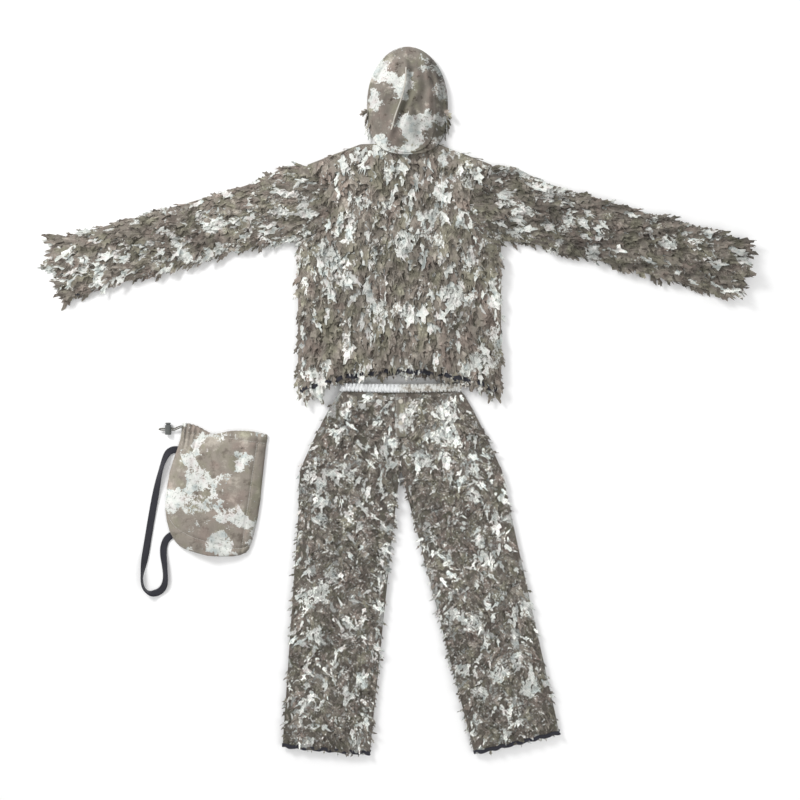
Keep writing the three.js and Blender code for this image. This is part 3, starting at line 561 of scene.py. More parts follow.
def rework(data, change):
    """Changes a mesh with a function of its bmesh."""
    work = bmesh.new()
    work.from_mesh(data)
    change(work)
    work.to_mesh(data)
    work.free()


def piece(name, points, faces, material):
    """A smooth mesh object from its points and faces, with one finish."""
    data = bpy.data.meshes.new(name)
    data.from_pydata([tuple(map(float, p)) for p in points], [], faces)
    data.validate()
    data.materials.append(finish(material))
    data.polygons.foreach_set("use_smooth", [True] * len(data.polygons))
    return show(name, data)


def ring_faces(rings, around, capped=True):
    """Faces of a tube of `rings` rings with `around` points each, with a fan point at each end if capped."""
    faces = []
    for i in range(rings - 1):
        for j in range(around):
            k = (j + 1) % around
            faces.append((i * around + j, i * around + k, (i + 1) * around + k, (i + 1) * around + j))
    if capped:
        total, base = rings * around, (rings - 1) * around
        faces += [(total, (j + 1) % around, j) for j in range(around)]
        faces += [(total + 1, base + j, base + (j + 1) % around) for j in range(around)]
    return faces


def folds(x, y, along, seed, wavelength=0.09):
    """Height from -1 to 1 of soft folds that run lengthwise in the direction `along`."""
    ax, ay = along
    u = (x * ay - y * ax) / wavelength
    v = (x * ax + y * ay) / (wavelength * 3.2)
    broad = noise.noise((u, v, seed * 3.7))
    fine = noise.noise((u * 2.3, v * 2.6, seed * 5.1 + 9))
    return 1.3 * broad + 0.6 * fine


def flattened(low, high, s, square):
    """Height on a flattened tube from its low and high side, at the sine of an angle round it."""
    return (low + high) / 2 + (high - low) / 2 * math.copysign(abs(s) ** square, s)


def tube_rings(stations, around, seed, fold, square=0.6):
    """
    Points of a flattened tube. A station is its middle's x and y, the x and y of the direction across it,
    its half width, and its low and high z. `fold` is the height of the folds on the upper side.
    """
    rings = []
    for cx, cy, ax, ay, half, low, high in stations:
        ring = []
        for c, s in circle(around):
            flat = half * c
            z = flattened(low, high, s, square)
            x, y = cx + ax * flat, cy + ay * flat
            if s > 0:
                z += fold * s * folds(x, y, (-ay, ax), seed)
            ring.append((x, y, max(z, low)))
        rings.append(ring)
    return np.array(rings)


def cloth_tube(name, rings, material):
    """One closed piece of cloth from its rings, with a fan in each end."""
    count, around = rings.shape[:2]
    points = [*rings.reshape(-1, 3), rings[0].mean(axis=0), rings[-1].mean(axis=0)]
    return outward(piece(name, points, ring_faces(count, around), material))


def outward(item):
    """Turns every face of a closed mesh outwards."""
    rework(item.data, lambda work: bmesh.ops.recalc_face_normals(work, faces=work.faces))
    return item


def paint_fold_shading(item, height, strength):
    """Stores painted light and shade from how a fold faces the light as `painted_fold_shading`, so that the
    cloth's colour is darker on the far side of a fold and lighter on the near side.
    """
    step = 0.0015
    values = []
    for vertex in item.data.vertices:
        x, y = vertex.co.x, vertex.co.y
        slope_x = (height(x + step, y) - height(x - step, y)) / (2 * step)
        slope_y = (height(x, y + step) - height(x, y - step)) / (2 * step)
        lit = strength * (0.8 * slope_x - 0.6 * slope_y)
        values.append(clamp(lit, -0.45, 0.22))
    layer = item.data.attributes.new("painted_fold_shading", "FLOAT", "POINT")
    layer.data.foreach_set("value", values)


def mouth(rings, inset, depth):
    """Adds rings that turn in at the last end, so that the tube has a real open mouth."""
    end, before = rings[-1], rings[-2]
    step = end.mean(axis=0) - before.mean(axis=0)
    step /= np.linalg.norm(step)
    middle = end.mean(axis=0)
    lip = middle + (end - middle) * [inset, inset, 0.8]
    inner = middle + (end - middle) * [inset * 0.98, inset * 0.98, 0.7] - step * depth
    return np.concatenate([rings, [lip], [inner]])


BAND_SECTION = [
    (-0.5, -0.3), (-0.3, -0.5), (0.3, -0.5), (0.5, -0.3), (0.5, 0.3), (0.3, 0.5), (-0.3, 0.5), (-0.5, 0.3),
]


def band(name, middles, wides, width, thickness, finish_name, closed=False, section=None):
    """A strip of cloth or elastic along a line of points, with `wides` as its direction across at each."""
    section = section or BAND_SECTION
    count = len(middles)
    points = []
    for index, (middle, wide) in enumerate(zip(middles, wides)):
        after = middles[(index + 1) % count] if closed else middles[min(index + 1, count - 1)]
        before = middles[index - 1] if closed else middles[max(index - 1, 0)]
        above = (after - before).normalized().cross(wide).normalized()
        points.append([tuple(middle + wide * (u * width) + above * (v * thickness)) for u, v in section])
    if closed:
        points.append(points[0])
        rings = np.array(points)
        faces = ring_faces(count + 1, len(section), capped=False)
        around = len(section)
        faces = [tuple(corner % (count * around) for corner in face) for face in faces]
        strip = outward(piece(name, list(rings[:-1].reshape(-1, 3)), faces, finish_name))
    else:
        strip = cloth_tube(name, np.array(points), finish_name)
    return strip


def belongs(item, body, slot_name, *nodes):
    """Puts a piece on its body and hides the nodes that it stands for; its material slot name is not used."""
    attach(item, body)
    if nodes:
        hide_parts(*nodes)
    return item


# ---------------------------------------------------------------- small shapes repeated along a line

ROW_INPUTS = [
    ("Shape", "NodeSocketObject"), ("Finish", "NodeSocketMaterial"), ("Step", "NodeSocketFloat"),
    ("Face", "NodeSocketVector"),
]


def new_tree(name, first, inputs):
    """A Geometry Nodes tree with its inputs and one output, and the sockets of its inputs."""
    tree = bpy.data.node_groups.new(name, "GeometryNodeTree")
    for label, kind in [(first, "NodeSocketGeometry"), *inputs]:
        tree.interface.new_socket(label, in_out="INPUT", socket_type=kind)
    tree.interface.new_socket("Made", in_out="OUTPUT", socket_type="NodeSocketGeometry")
    return tree, tree.nodes.new("NodeGroupInput").outputs


def row_tree():
    """Geometry Nodes tree that repeats a small shape along a line, as stitches or teeth."""
    found = bpy.data.node_groups.get("row along a line")
    if found:
        return found
    tree, given = new_tree("row along a line", "Line", ROW_INPUTS)
    line = add(tree, "GeometryNodeMeshToCurve", {"Mesh": given["Line"]})
    points = add(tree, "GeometryNodeCurveToPoints", {
        "Curve": line.outputs[0], "Length": given["Step"]}, mode="LENGTH")
    along = add(tree, "FunctionNodeAlignRotationToVector", {"Vector": points.outputs["Tangent"]}, axis="X")
    facing = add(tree, "FunctionNodeAlignRotationToVector", {
        "Rotation": along.outputs[0], "Vector": given["Face"]}, axis="Z", pivot_axis="X")
    shape = add(tree, "GeometryNodeObjectInfo", {"Object": given["Shape"], "As Instance": True})
    copies = add(tree, "GeometryNodeInstanceOnPoints", {
        "Points": points.outputs["Points"], "Instance": shape.outputs["Geometry"],
        "Rotation": facing.outputs[0]})
    real = add(tree, "GeometryNodeRealizeInstances", {"Geometry": copies.outputs[0]})
    done = add(tree, "GeometryNodeSetMaterial", {"Geometry": real.outputs[0], "Material": given["Finish"]})
    tree.links.new(done.outputs[0], tree.nodes.new("NodeGroupOutput").inputs[0])
    return tree


def pellet(length, width, height):
    """A small stitch or tooth: a six-sided bar with pointed ends, lying along X."""
    points = []
    for x in (-0.32, 0.32):
        for step in range(6):
            angle = math.pi * step / 3
            points.append((x * length, math.cos(angle) * width / 2, math.sin(angle) * height / 2))
    points += [(-length / 2, 0, 0), (length / 2, 0, 0)]
    faces = [(j, (j + 1) % 6, 6 + (j + 1) % 6, 6 + j) for j in range(6)]
    faces += [(12, (j + 1) % 6, j) for j in range(6)]
    faces += [(13, 6 + j, 6 + (j + 1) % 6) for j in range(6)]
    data = bpy.data.meshes.new("pellet")
    data.from_pydata(points, [], faces)
    return outward(bpy.data.objects.new("pellet", data))


def swap(base, made, name, finish_name):
    """Removes the object that a tree was run on, and shows the mesh that came out."""
    bpy.data.objects.remove(base)
    made.name = name
    if not made.materials:
        made.materials.append(finish(finish_name))
    return show(name, made)


def row_of(name, line, step, size, finish_name, body, slot_name):
    """A row of stitches or teeth of one size along a line of points."""
    data = bpy.data.meshes.new(name + "_line")
    data.from_pydata([tuple(p) for p in line], [(i, i + 1) for i in range(len(line) - 1)], [])
    base = show(name + "_line", data)
    shape = pellet(*size)
    made = run_tree(base, row_tree(), {
        "Shape": shape, "Finish": finish(finish_name), "Step": step, "Face": (0.0, 0.0, 1.0)})
    item = swap(base, made, name, finish_name)
    bpy.data.objects.remove(shape)
    return belongs(item, body, slot_name)


# ---------------------------------------------------------------- cloth leaves


def leaf_shape(name, columns, rows, seed, widest):
    """
    One jagged cloth leaf of length 1 that hangs from the origin towards -Y, as a thin closed solid
    with a curl across it, a lifted tip and ragged edges.
    """
    pick = random.Random(seed)
    wide_share = widest * pick.uniform(0.5, 1.0)
    profile = [wide_share * part for part in (0.2, 0.3, 0.33, 0.3, 0.22, 0.09)]
    curl = pick.uniform(-1.6, 1.6)
    lift = pick.uniform(-0.02, 0.22)
    sway = pick.uniform(-0.14, 0.14)
    thickness = 0.014
    top = []
    for row in range(rows + 1):
        t = row / rows
        at = t * (len(profile) - 1)
        low = min(int(at), len(profile) - 2)
        half = profile[low] + (profile[low + 1] - profile[low]) * (at - low)
        for column in range(columns + 1):
            u = 2 * column / columns - 1
            edge = abs(u) > 0.99
            tooth = (1.3 if row % 2 else 0.6) * pick.uniform(0.7, 1.3) if edge and row else 1.0
            x = u * half * tooth + sway * t * t
            y = -t
            if edge and row:
                y += 0.07 * (-1 if row % 2 else 1) * pick.uniform(0.4, 1.3)
            if row == rows:
                y += pick.uniform(-0.1, 0.2)
            ripple = 0.05 * math.sin(5 * t + 3 * u + seed)
            z = curl * (x * x) * 1.4 + lift * t * t + ripple * t
            top.append((x, y, z))
    wide = columns + 1
    count = len(top)
    points = top + [(x, y, z - thickness) for x, y, z in top]
    faces = []
    for row in range(rows):
        for column in range(columns):
            a = row * wide + column
            quad = (a, a + wide, a + wide + 1, a + 1)
            faces += [quad, tuple(count + p for p in reversed(quad))]
    border = list(range(wide))
    border += [row * wide + columns for row in range(1, rows + 1)]
    border += [rows * wide + column for column in range(columns - 1, -1, -1)]
    border += [row * wide for row in range(rows - 1, 0, -1)]
    for a, b in zip(border, border[1:] + border[:1]):
        faces.append((a, b, count + b, count + a))
    data = bpy.data.meshes.new(name)
    data.from_pydata(points, [], faces)
    item = bpy.data.objects.new(name, data)
    outward(item)
    data.polygons.foreach_set("use_smooth", [False] * len(data.polygons))
    return item


def leaf_set(name, columns, rows, count, widest):
    """Leaf shapes that the leaf tree picks from. `widest` is the share of a leaf's full width."""
    group = bpy.data.collections.new(name)
    for number in range(count):
        group.objects.link(leaf_shape(f"{name}_{number}", columns, rows, number + 3, widest))
    return group


def clear_leaf_set(group):
    """Removes the leaf shapes once they are sewn on."""
    for item in list(group.objects):
        bpy.data.objects.remove(item)
    bpy.data.collections.remove(group)


LEAF_INPUTS = [
    ("Leaves", "NodeSocketCollection"), ("Finish", "NodeSocketMaterial"), ("Spacing", "NodeSocketFloat"),
    ("Density", "NodeSocketFloat"), ("Smallest", "NodeSocketFloat"), ("Largest", "NodeSocketFloat"),
    ("Least Turn", "NodeSocketVector"), ("Most Turn", "NodeSocketVector"), ("Ground", "NodeSocketFloat"),
    ("Seed", "NodeSocketInt"),
]


def leaf_tree():
    """
    Geometry Nodes tree that sews leaves all over a cloth: scattered points, each leaf laid on the cloth
    with its root up the garment, turned and lifted a little at random, and pressed flat on the ground.
    """
    found = bpy.data.node_groups.get("sewn leaves")
    if found:
        return found
    tree, given = new_tree("sewn leaves", "Cloth", LEAF_INPUTS)
    seed = given["Seed"]

    def chance(data_type, low, high, extra):
        first = {"FLOAT_VECTOR": 0, "FLOAT": 2, "INT": 4}[data_type]
        moved = maths(tree, "ADD", seed, float(extra))
        inputs = {first: low, first + 1: high, 8: moved}
        return add(tree, "FunctionNodeRandomValue", inputs, data_type=data_type).outputs[first // 2]

    points = add(tree, "GeometryNodeDistributePointsOnFaces", {
        "Mesh": given["Cloth"], "Distance Min": given["Spacing"], "Density Max": given["Density"],
        "Seed": seed,
    }, distribute_method="POISSON")
    up = add(tree, "GeometryNodeInputNamedAttribute", {"Name": "up"}, data_type="FLOAT_VECTOR").outputs[0]
    grow = add(tree, "GeometryNodeInputNamedAttribute", {"Name": "grow"}, data_type="FLOAT").outputs[0]
    facing = add(tree, "FunctionNodeAlignRotationToVector", {"Vector": points.outputs["Normal"]}, axis="Z")
    hanging = add(tree, "FunctionNodeAlignRotationToVector", {
        "Rotation": facing.outputs[0], "Vector": up}, axis="Y", pivot_axis="Z")
    jitter = chance("FLOAT_VECTOR", given["Least Turn"], given["Most Turn"], 1)
    turned = add(tree, "FunctionNodeRotateRotation", {
        "Rotation": hanging.outputs[0],
        "Rotate By": add(tree, "FunctionNodeEulerToRotation", {"Euler": jitter}).outputs[0],
    }, rotation_space="LOCAL")
    size = maths(tree, "MULTIPLY", chance("FLOAT", given["Smallest"], given["Largest"], 2), grow)
    pick = add(tree, "GeometryNodeCollectionInfo", {
        "Collection": given["Leaves"], "Separate Children": True, "Reset Children": True})
    sewn = add(tree, "GeometryNodeInstanceOnPoints", {
        "Points": points.outputs["Points"], "Instance": pick.outputs[0], "Pick Instance": True,
        "Instance Index": chance("INT", 0, 500, 3), "Rotation": turned.outputs[0], "Scale": size,
    })
    marked = add(tree, "GeometryNodeStoreNamedAttribute", {
        "Geometry": sewn.outputs[0], "Name": "leaf", "Value": chance("FLOAT", 0.0, 1.0, 4),
    }, data_type="FLOAT", domain="INSTANCE")
    real = add(tree, "GeometryNodeRealizeInstances", {"Geometry": marked.outputs[0]})
    where = add(tree, "GeometryNodeInputPosition").outputs[0]
    split = add(tree, "ShaderNodeSeparateXYZ", {0: where})
    own = add(tree, "GeometryNodeInputNamedAttribute", {"Name": "leaf"}, data_type="FLOAT").outputs[0]
    lowest = maths(tree, "MULTIPLY_ADD", own, 0.004, given["Ground"])
    squeezed = maths(tree, "MULTIPLY", split.outputs[2], 0.02)
    height = maths(tree, "MAXIMUM", split.outputs[2], maths(tree, "ADD", lowest, squeezed))
    settled = add(tree, "ShaderNodeCombineXYZ", {
        0: split.outputs[0], 1: split.outputs[1], 2: height}).outputs[0]
    laid = add(tree, "GeometryNodeSetPosition", {"Geometry": real.outputs[0], "Position": settled})
    done = add(tree, "GeometryNodeSetMaterial", {"Geometry": laid.outputs[0], "Material": given["Finish"]})
    tree.links.new(done.outputs[0], tree.nodes.new("NodeGroupOutput").inputs[0])
    return tree


def run_tree(item, tree, values):
    """Puts a tree on an object with the named inputs, and gives the mesh that comes out."""
    modifier = item.modifiers.new("make", "NODES")
    modifier.node_group = tree
    sockets = {s.name: s.identifier for s in tree.interface.items_tree if s.in_out == "INPUT"}
    for label, value in values.items():
        modifier[sockets[label]] = value
    item.data.update()
    bpy.context.view_layer.update()
    graph = bpy.context.evaluated_depsgraph_get()
    data = bpy.data.meshes.new_from_object(item.evaluated_get(graph), depsgraph=graph)
    item.modifiers.remove(modifier)
    return data


def sew_leaves(name, cloth, kept, up, grow, finish_name, leaves, values):
    """
    Leaves on the kept faces of a cloth. `up` gives the direction up the garment at a point and `grow` the
    size of a leaf there, as functions of x, y and z.
    """
    def trim(work):
        spare = [face for face in work.faces if not kept(face.calc_center_median(), face.normal)]
        bmesh.ops.delete(work, geom=spare, context="FACES")

    data = cloth.data.copy()
    base = show(name + "_ground", data)
    rework(data, trim)
    places = [tuple(vertex.co) for vertex in data.vertices]
    directions = data.attributes.new("up", "FLOAT_VECTOR", "POINT")
    directions.data.foreach_set("vector", [value for place in places for value in up(*place)])
    sizes = data.attributes.new("grow", "FLOAT", "POINT")
    sizes.data.foreach_set("value", [grow(*place) for place in places])
    made = run_tree(base, leaf_tree(), {
        "Leaves": leaves, "Finish": finish(finish_name), "Ground": GROUND, **values})
    return swap(base, made, name, finish_name)


def turn_range(lift_low, lift_high, roll, turn):
    """Least and most local rotation of a leaf, in radians, from degrees."""
    least = (-math.radians(lift_high), -math.radians(roll), -math.radians(turn))
    most = (-math.radians(lift_low), math.radians(roll), math.radians(turn))
    return {"Least Turn": least, "Most Turn": most}


# ---------------------------------------------------------------- stage


class SUIT_OT_stage(bpy.types.Operator):
    """Pale ground, soft studio light and a camera straight above"""

    bl_idname = "suit.stage"
    bl_label = "Stage and camera"

    def execute(self, context):
        scene = context.scene
        ground = bpy.data.meshes.new("studio_floor")
        reach, depth = 30.0, -0.0012
        ground.from_pydata([(-reach, -reach, depth), (reach, -reach, depth), (reach, reach, depth),
                            (-reach, reach, depth)], [], [(0, 1, 2, 3)])
        floor = bpy.data.objects.new("studio_floor", ground)
        scene.collection.objects.link(floor)
        material, tree, shader = surface("studio paper", roughness=1.0)
        place = object_place(tree)
        paper = mix(tree, noise_at(tree, place, 3.0), (0.93, 0.93, 0.93), (0.96, 0.96, 0.96))
        paint(tree, shader, paper)
        ground.materials.append(material)

        world = bpy.data.worlds.new("studio")
        world.use_nodes = True
        world.node_tree.nodes["Background"].inputs["Color"].default_value = (1.0, 1.0, 1.0, 1.0)
        world.node_tree.nodes["Background"].inputs["Strength"].default_value = 0.72
        scene.world = world
        for name, place, size, power in (
            ("key softbox", (-1.9, 1.9, 2.2), 1.0, 70.0),
            ("fill softbox", (1.9, -1.2, 2.9), 2.0, 26.0),
        ):
            lamp = bpy.data.lights.new(name, "AREA")
            lamp.shape = "SQUARE"
            lamp.size = size
            lamp.energy = power
            light = bpy.data.objects.new(name, lamp)
            scene.collection.objects.link(light)
            light.location = place
            light.rotation_euler = (-Vector(place)).to_track_quat("-Z", "Y").to_euler()

        lens = bpy.data.cameras.new("overhead")
        lens.lens = 50.0
        lens.sensor_width = 36.0
        lens.clip_end = 100.0
        camera = bpy.data.objects.new("overhead", lens)
        scene.collection.objects.link(camera)
        view_width = 2.2
        camera.location = (0.0, 0.0, view_width * lens.lens / lens.sensor_width + 0.03)
        scene.camera = camera
        scene.view_settings.view_transform = "Standard"
        return {"FINISHED"}


# ---------------------------------------------------------------- strap and drawcord


def smooth_line(points, steps):
    """A Catmull-Rom line through the points with `steps` stretches between each two."""
    points = [Vector(p) for p in points]
    ends = [points[0] * 2 - points[1], *points, points[-1] * 2 - points[-2]]
    line = []
    for a, b, c, d in zip(ends, ends[1:], ends[2:], ends[3:]):
        for step in range(steps):
            t = step / steps
            line.append(0.5 * ((2 * b) + (c - a) * t + (2 * a - 5 * b + 4 * c - d) * t ** 2
                               + (3 * b - a - 3 * c + d) * t ** 3))
    line.append(points[-1])
    return line


class SUIT_OT_cords(bpy.types.Operator):
    """Webbing strap, drawcord loop and cord lock of the bag"""

    bl_idname = "suit.cords"
    bl_label = "Strap and drawcord"

    def execute(self, context):
        sizes = context.scene.suit_sizes
        self.strap(sizes)
        loop = bpy.data.curves.new("drawcord", "CURVE")
        loop.dimensions = "3D"
        loop.bevel_depth = sizes.cord_thickness / 2
        loop.bevel_resolution = 3
        loop.use_fill_caps = True
        line = smooth_line(CORD_ROUTE, 6)
        spline = loop.splines.new("POLY")
        spline.points.add(len(line) - 1)
        for point, place in zip(spline.points, line):
            point.co = (*place, 1.0)
        cord = bpy.data.objects.new("drawcord", loop)
        context.scene.collection.objects.link(cord)
        loop.materials.append(finish("braid"))
        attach(cord, "bag")
        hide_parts("drawcord_loop", "drawcord_in_casing")
        cover("cord_lock_barrel", "lock plastic")
        cover("cord_lock_button", "lock plastic")
        cover("cord_lock_spring", "spring")
        return {"FINISHED"}

    def strap(self, sizes):
        """Flat webbing that lies on the ground and stands on its edge where it twists."""
        line = smooth_line([(x, y, STRAP_HEIGHT) for x, y in STRAP_ROUTE], 6)
        count = len(line)
        half, thick = sizes.strap_width / 2, sizes.strap_thickness / 2
        section = [(-half, -thick * 0.6), (-half * 0.94, -thick), (-half * 0.3, -thick), (half * 0.3, -thick),
                   (half * 0.94, -thick), (half, -thick * 0.6), (half, thick * 0.6), (half * 0.94, thick),
                   (half * 0.3, thick), (-half * 0.3, thick), (-half * 0.94, thick), (-half, thick * 0.6)]
        rings, travelled, middles, laid = [], 0.0, [], []
        for index, point in enumerate(line):
            ahead = line[min(index + 1, count - 1)] - line[max(index - 1, 0)]
            ahead.normalize()
            side = Vector((ahead.y, -ahead.x, 0.0))
            share = index / (count - 1)
            twist = math.radians(87) * math.exp(-((share - 0.475) / 0.085) ** 4)
            twist -= math.radians(46) * math.exp(-((share - 0.2) / 0.06) ** 2)
            twist += math.radians(38) * math.exp(-((share - 0.7) / 0.07) ** 2)
            across = side * math.cos(twist) + Vector((0, 0, 1)) * math.sin(twist)
            above = Vector((0, 0, 1)) * math.cos(twist) - side * math.sin(twist)
            raised = point + Vector((0, 0, half * abs(math.sin(twist))))
            middles.append(raised)
            rings.append([raised + across * u + above * v for u, v in section])
            laid.append(travelled)
            if index < count - 1:
                travelled += (line[index + 1] - point).length
        strap = cloth_tube("shoulder_strap_webbing", np.array([[tuple(p) for p in ring] for ring in rings]),
                           "webbing")
        around = len(section)
        layer = strap.data.uv_layers.new(name="lay")
        for loop in strap.data.loops:
            index = loop.vertex_index
            if index < count * around:
                layer.data[loop.index].uv = (laid[index // around], section[index % around][0])
        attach(strap, "bag")
        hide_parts("shoulder_strap")


# ---------------------------------------------------------------- jacket body


def hem_y(x):
    """Height of the hem's lower edge: a low arch between its two corners."""
    return HEM[0].y + (HEM[1].y - HEM[0].y - 0.012) * (1 - ((x - JACKET_MIDDLE) / CHEST_HALF) ** 2)


def chest_half(y):
    """Half width of the torso cloth at a height, with the armholes cut in."""
    head = joint_point("right_sleeve_swing")
    reach = head.x - JACKET_MIDDLE
    half = CHEST_HALF
    away = abs(y - head.y)
    if away < SLEEVE_HEAD:
        half = min(half, reach - math.sqrt(SLEEVE_HEAD ** 2 - away ** 2) + 0.012)
    shoulder, neck = head.y + 0.117, TORSO[1].y
    if y > shoulder - 0.02:
        share = min(1.0, (y - shoulder + 0.02) / (neck - shoulder + 0.02))
        half = min(half, CHEST_HALF + (0.1 - CHEST_HALF) * share)
    return half


def torso_rings(low, high, fold):
    """Rings of the torso from the neck down to the hem, the last ones following the arched hem."""
    rows, around = 74, 96
    top, bottom = TORSO[1].y - 0.004, HEM[0].y + 0.012
    stations = []
    for row in range(rows):
        share = row / (rows - 1)
        y = top + (bottom - top) * share
        stations.append((JACKET_MIDDLE, y, 1.0, 0.0, chest_half(y), low, high))
    rings = tube_rings(stations, around, 2.0, fold)
    for ring in rings:
        for point in ring:
            x, y = point[0], point[1]
            arch = hem_y(x) + 0.01
            near = clamp(1 - (y - bottom) / 0.3)
            point[1] = y + (arch - bottom) * near ** 2
    return rings


class SUIT_OT_jacket_cloth(bpy.types.Operator):
    """Net cloth of the jacket's body, with soft folds and an open hem"""

    bl_idname = "suit.jacket_cloth"
    bl_label = "Jacket cloth"

    def execute(self, context):
        sizes = context.scene.suit_sizes
        rings = torso_rings(0.006, TORSO_TOP + 0.004, sizes.fold_height)
        cloth = cloth_tube("jacket_cloth", mouth(rings, 0.97, 0.05), "under net")
        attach(cloth, "jacket")
        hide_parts("jacket_back_panel", "jacket_front_left", "jacket_front_right")
        return {"FINISHED"}


class SUIT_OT_jacket_leaves(bpy.types.Operator):
    """Leaf-cut cloth sewn all over the jacket's front and back"""

    bl_idname = "suit.jacket_leaves"
    bl_label = "Jacket leaves"

    def execute(self, context):
        sizes = context.scene.suit_sizes
        cloth = bpy.data.objects["jacket_cloth"]
        leaves = leaf_set("torso_leaf", 3, 5, 12, 0.8)
        middle = TORSO_TOP / 2

        def up(x, y, z):
            return (0.0, 1.0, 0.0)

        def grow(x, y, z):
            inside = chest_half(y) - abs(x - JACKET_MIDDLE)
            above = y - hem_y(x)
            short = 0.5 + 0.5 * min(1.0, above / 0.06) if abs(x - JACKET_MIDDLE) < CHEST_HALF * 0.78 else 1.0
            return short * (0.5 + 0.5 * clamp(inside / 0.024))

        def outside(centre, normal):
            zip_gap = abs(centre.x - ZIP_X) > 0.004 or centre.z < middle
            flat = abs(normal.z) > 0.5 or normal.y > 0.4
            under_hood = hood_share(centre.x, centre.y) < 0.9 and centre.z > middle
            return flat and centre.y > hem_y(centre.x) + 0.005 and zip_gap and not under_hood

        pieces = (
            ("jacket_front_leaf_cloth", lambda c, n: n.z > 0 and outside(c, n),
             ("jacket_front_leaves_left", "jacket_front_leaves_right"), 11),
            ("jacket_back_leaf_cloth", lambda c, n: n.z < -0.3 and outside(c, n),
             ("jacket_back_leaves",), 23),
        )
        for name, kept, replaced, seed in pieces:
            item = sew_leaves(name, cloth, kept, up, grow, "torso leaves", leaves, {
                "Spacing": sizes.torso_spacing, "Density": 9000.0, "Smallest": sizes.torso_leaf * 0.72,
                "Largest": sizes.torso_leaf * 1.28, "Seed": seed + sizes.seed, **turn_range(2, 13, 14, 32)})
            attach(item, "jacket")
            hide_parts(*replaced)
        clear_leaf_set(leaves)
        return {"FINISHED"}


# ---------------------------------------------------------------- elastic bands


def elastic_loop(name, path, width, thickness, body, nodes, finish_name, slot_name, wave, wavelength, along,
                 section=None):
    """
    A closed band of elastic round the end of a flattened tube. `path` gives the loop's middle line,
    `along` is the
    direction of its width, and it ripples by `wave` every `wavelength`.
    """
    count = len(path)
    middles, wides, travelled = [], [], 0.0
    straight = Vector(along).normalized()
    for index in range(count):
        here, after, before = path[index], path[(index + 1) % count], path[index - 1]
        out = (after - before).normalized().cross(straight).normalized()
        ripple = math.sin(travelled / wavelength * 2 * math.pi)
        other = math.sin(travelled / wavelength * 2 * math.pi * 0.61 + 1.1)
        middles.append(here + out * wave * ripple + straight * wave * 0.8 * other)
        wides.append(straight * math.cos(0.5 * other) + out * math.sin(0.5 * other))
        travelled += (after - here).length
    loop = band(name, middles, wides, width, thickness, finish_name, closed=True, section=section)
    lowest = min(v.co.z for v in loop.data.vertices)
    if lowest < GROUND:
        for vertex in loop.data.vertices:
            vertex.co.z += GROUND - lowest
    return belongs(loop, body, slot_name, *nodes)


def oval(middle, across, half, low, high, steps=150, square=0.55):
    """Points round the mouth of a flattened tube."""
    across = Vector(across).normalized()
    centre, thick = (low + high) / 2, (high - low) / 2
    points = []
    for step in range(steps):
        angle = 2 * math.pi * step / steps
        c, s = math.cos(angle), math.sin(angle)
        place = Vector(middle) + across * (half * c)
        place.z = centre + thick * math.copysign(abs(s) ** square, s)
        points.append(place)
    return points


class SUIT_OT_bands(bpy.types.Operator):
    """Rippled elastic at the jacket hem, the cuffs and the ankles"""

    bl_idname = "suit.bands"
    bl_label = "Elastic bands"

    def execute(self, context):
        line = oval((JACKET_MIDDLE, 0, 0), (1, 0, 0), CHEST_HALF - 0.004, HEM[0].z, HEM[1].z + 0.006, 260)
        for point in line:
            point.y = hem_y(point.x) + 0.004
        elastic_loop("jacket_hem_band", line, 0.013, 0.003, "jacket", ["jacket_hem_elastic"], "dark elastic",
                     "dark_elastic", 0.0045, 0.033, (0, 1, 0))
        for word, side in SIDES.items():
            start, away, across = sleeve_axis(side)
            end = start + away * (SLEEVE_LENGTH - 0.008)
            line = oval(end, across, SLEEVE_END, 0.006, 0.021, 110)
            elastic_loop(f"{word}_cuff_band", line, 0.011, 0.0028, f"{word}_sleeve",
                         [f"{word}_sleeve_end_elastic"],
                         "dark elastic", "dark_elastic", 0.002, 0.016, away)
            start, away, across = leg_axis(word)
            end = start + away * (LEG_LENGTH - 0.004)
            line = oval(end, across, LEG_END - 0.001, 0.005, 0.021, 150)
            elastic_loop(f"{word}_ankle_band", line, 0.011, 0.003, f"{word}_leg", [f"{word}_leg_end_elastic"],
                         "ankle elastic", "dark_elastic", 0.0016, 0.022, away)
        return {"FINISHED"}


# ---------------------------------------------------------------- sleeves


def sleeve_axis(side):
    """Shoulder point, direction down the sleeve and direction across it."""
    start = joint_point("right_sleeve_swing" if side > 0 else "left_sleeve_swing")
    start.z = 0.0
    away = Vector((side * math.cos(SLEEVE_DROP), -math.sin(SLEEVE_DROP), 0.0))
    return start, away, Vector((-away.y, away.x, 0.0))


def limb_rings(start, away, across, profile, low, high, fold, seed, rows=64, around=56):
    """Rings of a sleeve or a leg: `profile` gives its half width at a distance from the joint."""
    first, last = profile[0][0], profile[-1][0]
    stations = []
    for row in range(rows):
        distance = first + (last - first) * row / (rows - 1)
        half = float(np.interp(distance, [p[0] for p in profile], [p[1] for p in profile]))
        middle = start + away * distance
        stations.append((middle.x, middle.y, across.x, across.y, half, low, high))
    return tube_rings(stations, around, seed, fold)


